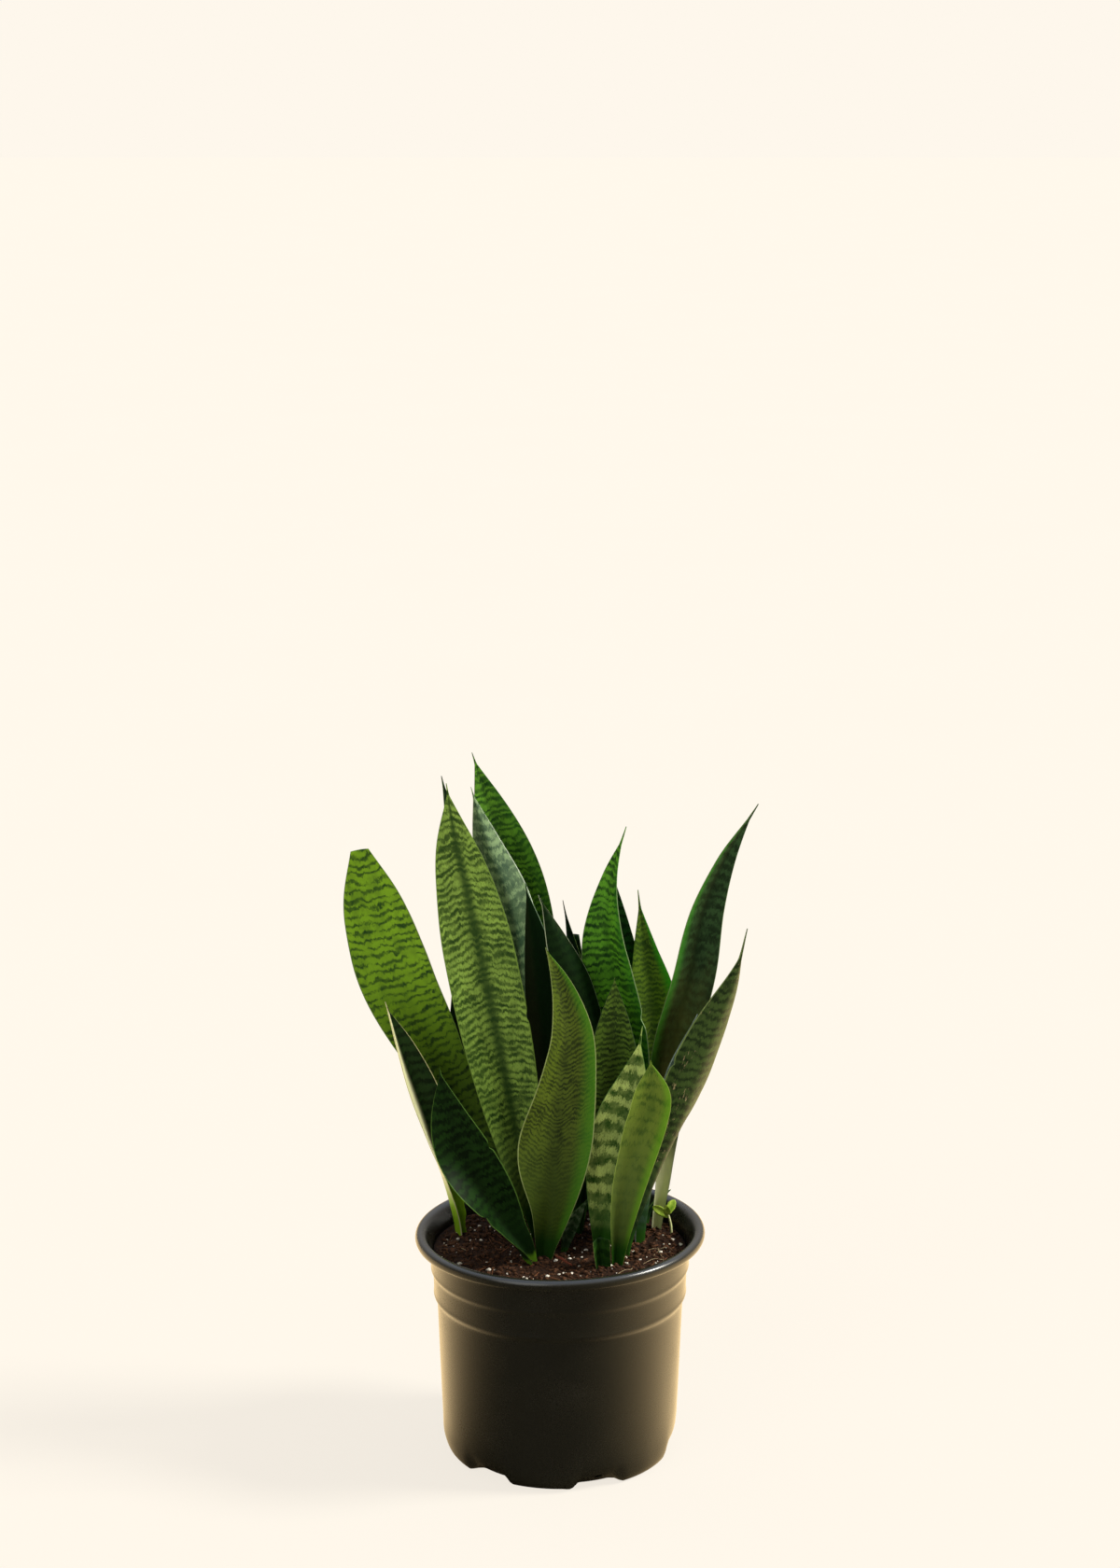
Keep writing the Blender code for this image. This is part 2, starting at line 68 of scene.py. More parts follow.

# %% [markdown]
# ## Small helpers
# Most pieces here are meshes made from points and faces, so one helper does it.
# `keep` ties a piece to the frame: it rides on the root body, and the rough nodes that
# it stands for are hidden.

# %% Helpers for pieces
def mesh_piece(name, points, faces, material):
    """A smooth-shaded mesh object with one material."""
    mesh = bpy.data.meshes.new(name)
    mesh.from_pydata([tuple(point) for point in points], [], faces)
    mesh.materials.append(material)
    mesh.polygons.foreach_set("use_smooth", [True] * len(mesh.polygons))
    obj = bpy.data.objects.new(name, mesh)
    bpy.context.scene.collection.objects.link(obj)
    return obj


def turn_outward(obj):
    """Makes all faces of a mesh object look outward."""
    shape = bmesh.new()
    shape.from_mesh(obj.data)
    bmesh.ops.recalc_face_normals(shape, faces=shape.faces)
    shape.to_mesh(obj.data)
    shape.free()


def keep(obj, slot, *nodes):
    """Ties a piece to the frame."""
    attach(obj, "root")
    if nodes:
        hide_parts(*nodes)
    return obj


def ramp(value, low, high):
    """0 below low, 1 above high, and an easy curve between."""
    t = min(max((value - low) / (high - low), 0), 1)
    return t * t * (3 - 2 * t)


def smooth_line(places, values, wanted):
    """A smooth line through values given at rising places; values may be vectors."""
    last = len(places) - 1
    slopes = [(values[i + 1] - values[i]) / (places[i + 1] - places[i]) for i in range(last)]
    tangents = [slopes[0]]
    for i in range(1, last):
        before = places[i] - places[i - 1]
        after = places[i + 1] - places[i]
        tangents.append((slopes[i - 1] * after + slopes[i] * before) / (before + after))
    tangents.append(slopes[-1])
    i = 0
    while i < last - 1 and wanted > places[i + 1]:
        i += 1
    gap = places[i + 1] - places[i]
    t = (wanted - places[i]) / gap
    start = values[i] * (2 * t**3 - 3 * t**2 + 1) + tangents[i] * (gap * (t**3 - 2 * t**2 + t))
    end = values[i + 1] * (3 * t**2 - 2 * t**3) + tangents[i + 1] * (gap * (t**3 - t**2))
    return start + end


# %% [markdown]
# ## Writing materials
# Colours are easiest to judge as screen values from 0 to 255, but a shader works in
# linear light, so `paint` converts them. `add` makes one node, and wires or sets each
# of its inputs: a socket is linked, and a plain value is set.

# %% Helpers for materials
def paint(red, green, blue):
    """A screen colour, 0 to 255, as linear light."""
    def linear(c):
        c /= 255
        return c / 12.92 if c <= 0.04045 else ((c + 0.055) / 1.055) ** 2.4
    return (linear(red), linear(green), linear(blue), 1)


def add(tree, kind, inputs=None, **settings):
    """One node, with its inputs linked or set."""
    made = tree.nodes.new(kind)
    for setting, value in settings.items():
        setattr(made, setting, value)
    for key, value in (inputs or {}).items():
        socket = made.inputs[key]
        if isinstance(value, bpy.types.NodeSocket):
            tree.links.new(value, socket)
        else:
            socket.default_value = value
    return made


def calc(tree, operation, a, b=0.0, clamp=False):
    """One sum of two numbers."""
    return add(tree, "ShaderNodeMath", {0: a, 1: b}, operation=operation,
               use_clamp=clamp).outputs[0]


def remap(tree, value, low, high):
    """An easy step from 0 to 1 as a value goes between two levels."""
    inputs = {"Value": value, "From Min": low, "From Max": high}
    return add(tree, "ShaderNodeMapRange", inputs, interpolation_type="SMOOTHSTEP").outputs[0]


def blend(tree, share, first, second):
    """A mix of two colours."""
    inputs = {0: share, 6: first, 7: second}
    return add(tree, "ShaderNodeMix", inputs, data_type="RGBA").outputs[2]


def grain(tree, vector, scale, detail=3.0, rough=0.55):
    """Cloudy noise from 0 to 1."""
    inputs = {"Vector": vector, "Scale": scale, "Detail": detail, "Roughness": rough}
    return add(tree, "ShaderNodeTexNoise", inputs).outputs["Fac"]


def new_material(name):
    """A material with an empty tree but for its output and one Principled shader."""
    material = bpy.data.materials.new(name)
    material.use_nodes = True
    tree = material.node_tree
    return material, tree, tree.nodes["Principled BSDF"]


def new_group(name, inputs, outputs):
    """A shader node group; its sockets are given as (name, kind, default)."""
    group = bpy.data.node_groups.new(name, "ShaderNodeTree")
    kinds = {"value": "NodeSocketFloat", "colour": "NodeSocketColor"}
    for title, kind, default in inputs:
        socket = group.interface.new_socket(title, in_out="INPUT", socket_type=kinds[kind])
        if default is not None:
            socket.default_value = default
    for title, kind in outputs:
        group.interface.new_socket(title, in_out="OUTPUT", socket_type=kinds[kind])
    return group, group.nodes.new("NodeGroupInput").outputs, group.nodes.new("NodeGroupOutput")


# %% [markdown]
# ## The bands of a snake plant leaf
# The leaf is dull green, crossed by wavering bands of a darker green.
# The bands are not stripes of one width: they zigzag, fork and fade out.
# A sine along the leaf gives the bands. One soft noise makes them wander, a finer
# one frays their edges, and a third decides where a band is strong or missing.
# Every leaf uses this group with its own spacing and seed, so it is made once.

# %% Band group
def make_band_group():
    """Cross bands, from places across and along a leaf in centimetres."""
    group, given, out = new_group(
        "Cross bands",
        [("Across", "value", 0.0), ("Along", "value", 0.0), ("Seed", "value", 0.0),
         ("Spacing", "value", 0.7), ("Wander", "value", 0.5), ("Fray", "value", 0.3),
         ("Cover", "value", 0.0), ("Softness", "value", 0.4), ("Slant", "value", 0.0)],
        [("Mask", "value")])

    def cloud(across_scale, along_scale, shift, detail):
        spot = add(group, "ShaderNodeCombineXYZ",
                   {0: calc(group, "MULTIPLY", given["Across"], across_scale),
                    1: calc(group, "MULTIPLY", given["Along"], along_scale),
                    2: calc(group, "ADD", given["Seed"], shift)}).outputs[0]
        return calc(group, "SUBTRACT", grain(group, spot, 1.0, detail, 0.6), 0.5)

    wander = calc(group, "MULTIPLY", cloud(1.5, 0.25, 0.0, 1.0), given["Wander"])
    drift = calc(group, "MULTIPLY", cloud(0.5, 0.9, 21.0, 2.0), given["Wander"])
    zigzag = calc(group, "MULTIPLY", cloud(4.5, 0.7, 5.0, 2.0), given["Fray"])
    fringe = calc(group, "MULTIPLY", cloud(26.0, 2.2, 9.0, 2.0), given["Fray"])
    slope = calc(group, "MULTIPLY", calc(group, "ABSOLUTE", given["Across"]), given["Slant"])
    place = calc(group, "ADD", calc(group, "ADD", given["Along"], wander),
                 calc(group, "ADD", zigzag, calc(group, "MULTIPLY", fringe, 0.75)))
    place = calc(group, "SUBTRACT", calc(group, "ADD", place, drift), slope)
    turn = calc(group, "MULTIPLY", calc(group, "DIVIDE", place, given["Spacing"]), 2 * math.pi)
    wave = calc(group, "SINE", turn)
    patchy = calc(group, "MULTIPLY", cloud(0.9, 0.8, 14.0, 3.0), 5.5)
    specks = calc(group, "MULTIPLY", cloud(24.0, 7.0, 31.0, 3.0), 4.0)
    level = calc(group, "SUBTRACT", calc(group, "ADD", wave, calc(group, "ADD", patchy, specks)),
                 given["Cover"])
    half = calc(group, "MULTIPLY", given["Softness"], 0.5)
    mask = remap(group, level, calc(group, "MULTIPLY", half, -1.0), half)
    depth = calc(group, "ADD", 0.82, calc(group, "MULTIPLY", cloud(1.6, 1.6, 44.0, 2.0), 1.1),
                 True)
    mask = calc(group, "MULTIPLY", mask, depth)
    group.links.new(mask, out.inputs["Mask"])
    return group


BANDS = make_band_group()
print("band group has", len(BANDS.nodes), "nodes")


# %% [markdown]
# ## A leaf's colour
# Over the ground and its bands lie the things that make one leaf differ from the
# next: a darker line down the middle, a lower part that is painted shade on shaded leaves
# and a paler olive tone on a few, mottling, a thin margin, and on some leaves a painted
# bright edge where light comes through.
# All of that is masks and colours, so it is a second group that leaves share.

# %% Leaf colour group
def make_leaf_group():
    """The colour and the relief of one leaf."""
    group, given, out = new_group(
        "Snake leaf colour",
        [("Ground", "colour", None), ("Band", "colour", None), ("Low", "colour", None),
         ("Foot", "colour", None), ("Margin", "colour", None), ("Glow", "colour", None),
         ("Seed", "value", 0.0), ("Spacing", "value", 0.7), ("Wander", "value", 0.8),
         ("Fray", "value", 0.5), ("Cover", "value", 0.0), ("Softness", "value", 0.6),
         ("Stripe", "value", 0.3), ("Low reach", "value", 0.35), ("Foot reach", "value", 0.1),
         ("Glow right", "value", 0.0), ("Glow left", "value", 0.0), ("Mottle", "value", 0.4),
         ("Worn", "value", 0.0), ("Slant", "value", 0.0), ("Glow from", "value", 0.45)],
        [("Colour", "colour"), ("Relief", "value"), ("Roughness", "value")])
    size = add(group, "ShaderNodeUVMap", uv_map="size_cm").outputs[0]
    share = add(group, "ShaderNodeUVMap", uv_map="share").outputs[0]
    sizes = add(group, "ShaderNodeSeparateXYZ", {0: size}).outputs
    shares = add(group, "ShaderNodeSeparateXYZ", {0: share}).outputs
    side = calc(group, "SUBTRACT", calc(group, "MULTIPLY", shares[0], 2.0), 1.0)
    off_middle = calc(group, "ABSOLUTE", side)
    bands = group.nodes.new("ShaderNodeGroup")
    bands.node_tree = BANDS
    group.links.new(sizes[0], bands.inputs["Across"])
    group.links.new(sizes[1], bands.inputs["Along"])
    for title in ("Seed", "Spacing", "Wander", "Fray", "Cover", "Softness", "Slant"):
        group.links.new(given[title], bands.inputs[title])

    def spot(across_scale, along_scale):
        return add(group, "ShaderNodeCombineXYZ",
                   {0: calc(group, "MULTIPLY", sizes[0], across_scale),
                    1: calc(group, "MULTIPLY", sizes[1], along_scale),
                    2: given["Seed"]}).outputs[0]

    # Ground and bands, with darker flecks that run along the leaf
    patches = grain(group, spot(1.2, 0.5), 1.0, 3.0)
    ground = blend(group, calc(group, "MULTIPLY", remap(group, patches, 0.4, 0.7), 0.35),
                   given["Ground"], given["Band"])
    colour = blend(group, bands.outputs["Mask"], ground, given["Band"])
    flecks = grain(group, spot(22.0, 4.0), 1.0, 3.0, 0.7)
    fleck_share = calc(group, "MULTIPLY", remap(group, flecks, 0.5, 0.68), given["Mottle"])
    colour = blend(group, fleck_share, colour, given["Band"])
    pale_share = calc(group, "MULTIPLY", remap(group, flecks, 0.42, 0.3), given["Mottle"])
    colour = blend(group, calc(group, "MULTIPLY", pale_share, 0.5), colour, given["Ground"])
    # A darker line up the middle
    middle = remap(group, calc(group, "ADD", off_middle, calc(group, "MULTIPLY", flecks, 0.3)),
                   0.42, 0.16)
    colour = blend(group, calc(group, "MULTIPLY", middle, given["Stripe"]), colour,
                   given["Band"])
    # The lower part: painted shade where other leaves shade it, a paler olive tone on a few
    uneven = calc(group, "MULTIPLY", calc(group, "SUBTRACT", patches, 0.5), 0.25)
    height = calc(group, "ADD", shares[1], uneven)
    low_end = calc(group, "MULTIPLY", given["Low reach"], 0.35)
    low = calc(group, "MULTIPLY", remap(group, height, given["Low reach"], low_end), 0.72)
    colour = blend(group, low, colour, given["Low"])
    # Light through the outer part of one half, then the foot and the thin margin
    full = calc(group, "ADD", given["Glow from"], 0.5)
    right = calc(group, "MULTIPLY", remap(group, side, given["Glow from"], full),
                 given["Glow right"])
    other_side = calc(group, "MULTIPLY", side, -1.0)
    left = calc(group, "MULTIPLY", remap(group, other_side, given["Glow from"], full),
                given["Glow left"])
    colour = blend(group, calc(group, "ADD", right, left, True), colour, given["Glow"])
    foot_end = calc(group, "MULTIPLY", given["Foot reach"], 0.4)
    foot = remap(group, calc(group, "ADD", shares[1], calc(group, "MULTIPLY", uneven, 0.3)),
                 given["Foot reach"], foot_end)
    colour = blend(group, foot, colour, given["Foot"])
    edge = remap(group, calc(group, "ADD", off_middle, calc(group, "MULTIPLY", flecks, 0.04)),
                 0.985, 1.0)
    colour = blend(group, edge, colour, given["Margin"])
    # Dry scratches
    scratch = remap(group, grain(group, spot(5.0, 0.8), 1.7, 4.0, 0.75), 0.59, 0.63)
    scratch = calc(group, "MULTIPLY", scratch, remap(group, patches, 0.52, 0.6))
    worn = calc(group, "MULTIPLY", scratch, given["Worn"])
    colour = blend(group, worn, colour, paint(176, 158, 122))
    group.links.new(colour, out.inputs["Colour"])
    ribs = grain(group, spot(26.0, 0.6), 1.0, 2.0)
    relief = calc(group, "ADD", calc(group, "MULTIPLY", ribs, 0.7),
                  calc(group, "MULTIPLY", bands.outputs["Mask"], 0.25))
    group.links.new(calc(group, "SUBTRACT", relief, worn), out.inputs["Relief"])
    rough = calc(group, "ADD", 0.33, calc(group, "MULTIPLY", flecks, 0.22))
    group.links.new(calc(group, "ADD", rough, calc(group, "MULTIPLY", worn, 0.4)),
                    out.inputs["Roughness"])
    return group


LEAF_COLOUR = make_leaf_group()
print("leaf colour group has", len(LEAF_COLOUR.nodes), "nodes")


# %% [markdown]
# ## One material for each kind of leaf
# A leaf has a waxy skin over flesh: a fairly smooth dielectric, with a soft sheen.
# Light gets a little way in, which the translucent share stands for; it is what makes
# a leaf lit from behind glow green at its thin edge.

# %% Leaf materials
DARK, DEEP = (34, 66, 24), (14, 32, 14)
CREAM, FOOT_GREEN = (205, 205, 150), (40, 84, 22)
WAXY, SKIN_RELIEF, LIGHT_THROUGH = 0.12, 0.6 * MM, 0.18


def leaf_material(name, ground, band, shine=WAXY, **look):
    """A leaf's finish; look sets any other input of the leaf colour group."""
    material, tree, shader = new_material(name)
    group = tree.nodes.new("ShaderNodeGroup")
    group.node_tree = LEAF_COLOUR
    settings = {"Ground": ground, "Band": band, "Low": DARK, "Foot": FOOT_GREEN,
                "Margin": (70, 104, 40), "Glow": (92, 170, 24)}
    settings.update({key.replace("_", " "): value for key, value in look.items()})
    for title, value in settings.items():
        is_colour = isinstance(value, tuple)
        group.inputs[title].default_value = paint(*value) if is_colour else value
    tree.links.new(group.outputs["Colour"], shader.inputs["Base Color"])
    tree.links.new(group.outputs["Roughness"], shader.inputs["Roughness"])
    shader.inputs["Specular IOR Level"].default_value = shine
    bump = add(tree, "ShaderNodeBump", {"Height": group.outputs["Relief"], "Strength": 0.3,
                                        "Distance": SKIN_RELIEF})
    tree.links.new(bump.outputs[0], shader.inputs["Normal"])
    through = add(tree, "ShaderNodeBsdfTranslucent", {"Color": group.outputs["Colour"]})
    both = add(tree, "ShaderNodeMixShader", {0: LIGHT_THROUGH, 1: shader.outputs[0],
                                             2: through.outputs[0]})
    tree.links.new(both.outputs[0], tree.nodes["Material Output"].inputs["Surface"])
    return material


# %% [markdown]
# ## The leaves' shapes
# A leaf starts as a narrow channel that clasps its neighbour, opens into a flat
# blade, and ends in a needle. Its midrib is a smooth line through a few points, and
# at each place along it the section has a width, a fold, and a side it looks to.
# The table is the same as the rough model's, so the fine leaves stand where the
# rough ones do. Only the number of sections and what happens at the margin is new.

# %% Leaf table
WIDTH_SHARES = (0, 0.15, 0.35, 0.55, 0.75, 0.9, 1)


class Leaf(NamedTuple):
    """One leaf, in millimetres and degrees.

    midrib: points from the surface of the mix up to the tip.
    widths: across the leaf at WIDTH_SHARES of the way up, ending where the spine begins.
    faces: where the hollow side looks, from base to tip (0 is the front, 90 the right).
    folds: how far each half is folded up from flat, from base to tip.
    spine: length of the needle at the tip; a leaf that was cut off has none.
    """

    name: str
    midrib: tuple
    widths: tuple
    faces: tuple
    folds: tuple = (52, 26, 18, 22)
    spine: float = 9


LEAVES = (
    # The left side
    Leaf("leaf_left_broad_cut",
         ((-42, 36, 150), (-64, 34, 231), (-91, 28, 289), (-114, 20, 343), (-126, 14, 386),
          (-138, 8, 437)),
         (14, 22, 32, 49, 53, 38, 13), (0, 10, -5, -10), (45, 18, 10, 8), 0),
    Leaf("leaf_left_narrow",
         ((-73, 26, 150), (-82, 24, 192), (-96, 14, 239), (-110, 4, 287), (-121, -6, 332)),
         (14, 26, 36, 38, 30, 16, 2), (60, 50, 45, 50), (55, 48, 45, 45)),
    Leaf("leaf_left_dark_needle",
         ((-42, 54, 150), (-52, 54, 220), (-67, 50, 280), (-77, 48, 336)),
         (12, 20, 28, 29, 24, 12, 2), (0, 0, 0, 0), (50, 28, 22, 22)),
    Leaf("leaf_front_left_dark",
         ((-23, -31, 150), (-40, -36, 180), (-58, -38, 215), (-74, -37, 254), (-83, -34, 293)),
         (14, 26, 40, 43, 34, 17, 2), (70, 40, 5, -10), (55, 40, 22, 20), 6),
    # The centre
    Leaf("leaf_centre_tall",
         ((-16, 22, 150), (-25, 20, 195), (-39, 18, 272), (-52, 15, 341), (-65, 12, 409),
          (-72, 10, 443), (-78, 8, 484)),
         (15, 31, 47, 52, 47, 28, 2), (10, 5, 0, -5), (50, 24, 16, 20)),
    Leaf("leaf_centre_tall_hidden",
         ((-27, 62, 150), (-48, 62, 290), (-68, 57, 400), (-83, 52, 479)),
         (14, 22, 32, 34, 26, 12, 2), (0, 0, 10, 20), (50, 24, 18, 20)),
    Leaf("leaf_front_centre_twisted",
         ((-11, -19, 150), (-6, -21, 190), (-5, -22, 235), (0, -21, 275), (3, -19, 318),
          (-3, -17, 352), (-10, -16, 374)),
         (16, 32, 55, 51, 38, 19, 2), (0, 5, 30, 40), (50, 24, 26, 32), 5),
    # The back
    Leaf("leaf_back_tallest",
         ((-6, 71, 150), (-12, 75, 240), (-22, 76, 330), (-36, 74, 410), (-50, 71, 453),
          (-62, 69, 492)),
         (15, 28, 42, 47, 43, 25, 2), (0, 0, 5, 10), (50, 24, 16, 18)),
    Leaf("leaf_back_silver",
         ((-13, 45, 150), (-18, 46, 230), (-26, 45, 320), (-36, 43, 390), (-50, 41, 430),
          (-62, 40, 474)),
         (14, 24, 38, 42, 38, 22, 2), (180, 180, 185, 190), (50, 30, 32, 32)),
    Leaf("leaf_centre_dark",
         ((3, 42, 150), (-5, 30, 260), (-13, 27, 330), (-18, 25, 370), (-24, 24, 409)),
         (14, 22, 34, 37, 30, 15, 2), (170, 165, 160, 160), (50, 26, 22, 22)),
    Leaf("leaf_centre_dark_inner",
         ((9, 57, 150), (0, 59, 230), (-9, 60, 300), (-14, 59, 343)),
         (12, 19, 27, 28, 23, 12, 2), (180, 180, 175, 170), (50, 24, 18, 20)),
    Leaf("leaf_centre_dark_leaning",
         ((14, 22, 150), (20, 20, 230), (21, 20, 290), (13, 18, 332), (-1, 15, 370),
          (-15, 12, 404)),
         (14, 26, 38, 40, 33, 17, 2), (200, 205, 215, 220), (50, 26, 22, 22)),
    Leaf("leaf_back_needle",
         ((22, 70, 150), (22, 72, 230), (14, 72, 320), (2, 70, 384)),
         (10, 14, 18, 18, 14, 8, 2), (0, 0, 0, 0), (50, 28, 22, 22), 14),
    Leaf("leaf_back_cut",
         ((9, 77, 150), (9, 86, 250), (10, 88, 354)),
         (12, 18, 24, 24, 20, 15, 8), (0, 0, 0, 0), (50, 28, 22, 20), 0),
    # The right side
    Leaf("leaf_mid_right_tall",
         ((34, 48, 150), (43, 46, 230), (44, 42, 290), (37, 38, 340), (33, 34, 375),
          (36, 30, 412), (46, 26, 449)),
         (14, 28, 44, 46, 36, 15, 2), (0, -10, -25, -30), (50, 24, 22, 26), 14),
    Leaf("leaf_mid_right_behind",
         ((36, 68, 150), (47, 66, 260), (44, 62, 330), (38, 58, 408)),
         (13, 22, 32, 35, 28, 14, 2), (0, 5, 10, 15), (50, 26, 20, 22)),
    Leaf("leaf_mid_right_short",
         ((50, 55, 150), (63, 60, 240), (66, 58, 310), (60, 56, 350), (55, 54, 396)),
         (13, 24, 38, 40, 32, 15, 2), (0, 5, 10, 15), (50, 24, 18, 20), 14),
    Leaf("leaf_right_tall",
         ((69, 35, 150), (74, 36, 190), (77, 32, 255), (82, 26, 300), (91, 18, 345),
          (100, 14, 395), (113, 10, 430), (136, 6, 470)),
         (12, 18, 38, 38, 31, 16, 2), (0, -5, 15, 30), (55, 42, 32, 28), 13),
    Leaf("leaf_right_low",
         ((47, -17, 150), (66, -9, 205), (86, -10, 256), (105, -13, 310), (121, -18, 355),
          (128, -22, 389)),
         (13, 24, 38, 42, 32, 17, 2), (-120, -135, -145, -140), (50, 30, 22, 22), 22),
    Leaf("leaf_right_sliver",
         ((58, 8, 150), (71, 10, 226), (82, 12, 281), (96, 10, 318)),
         (12, 18, 24, 26, 20, 10, 2), (-95, -100, -105, -105), (50, 32, 26, 26), 8),
    Leaf("leaf_mid_short_dark",
         ((36, 26, 150), (38, 18, 220), (37, 12, 290), (38, 8, 345)),
         (14, 26, 40, 42, 34, 18, 2), (0, 0, 5, 5), (50, 26, 20, 22), 4),
    Leaf("leaf_front_banded",
         ((30, -6, 150), (35, -11, 190), (43, -14, 240), (51, -16, 275), (57, -17, 318)),
         (14, 26, 40, 44, 34, 16, 2), (-10, -10, -15, -20), (50, 28, 24, 26), 14),
    Leaf("leaf_front_bright_tip",
         ((39, -31, 150), (46, -35, 205), (56, -38, 245), (63, -40, 275), (62, -41, 301)),
         (13, 19, 26, 30, 31, 24, 2), (10, 5, 0, 0), (55, 36, 28, 22), 3),
    Leaf("leaf_front_edge_on",
         ((25, 8, 150), (22, 5, 194), (18, 4, 229), (21, 4, 258)),
         (10, 16, 22, 22, 16, 8, 2), (80, 78, 75, 75), (50, 34, 30, 28), 4),
    # Young growth, and the foot of a leaf that was cut away
    Leaf("pup_leaf_mottled",
         ((2, -7, 150), (8, -10, 171), (19, -14, 190)),
         (7, 9, 11, 11, 8, 4, 1.6), (20, 15, 10, 10), (50, 34, 26, 24), 2),
    Leaf("pup_leaf_back_right",
         ((62, 46, 150), (68, 50, 162), (80, 54, 172)),
         (6, 7, 8, 7, 5, 3, 1.4), (-90, -90, -90, -90), (50, 34, 26, 24), 3),
    Leaf("leaf_stub_cut",
         ((29, -37, 150), (28, -37, 160), (27, -37, 171)),
         (17, 18, 19, 20, 20, 20, 20), (10, 10, 10, 10), (54, 54, 54, 54), 0),
)
print(len(LEAVES), "leaves and leaf pieces in the table")
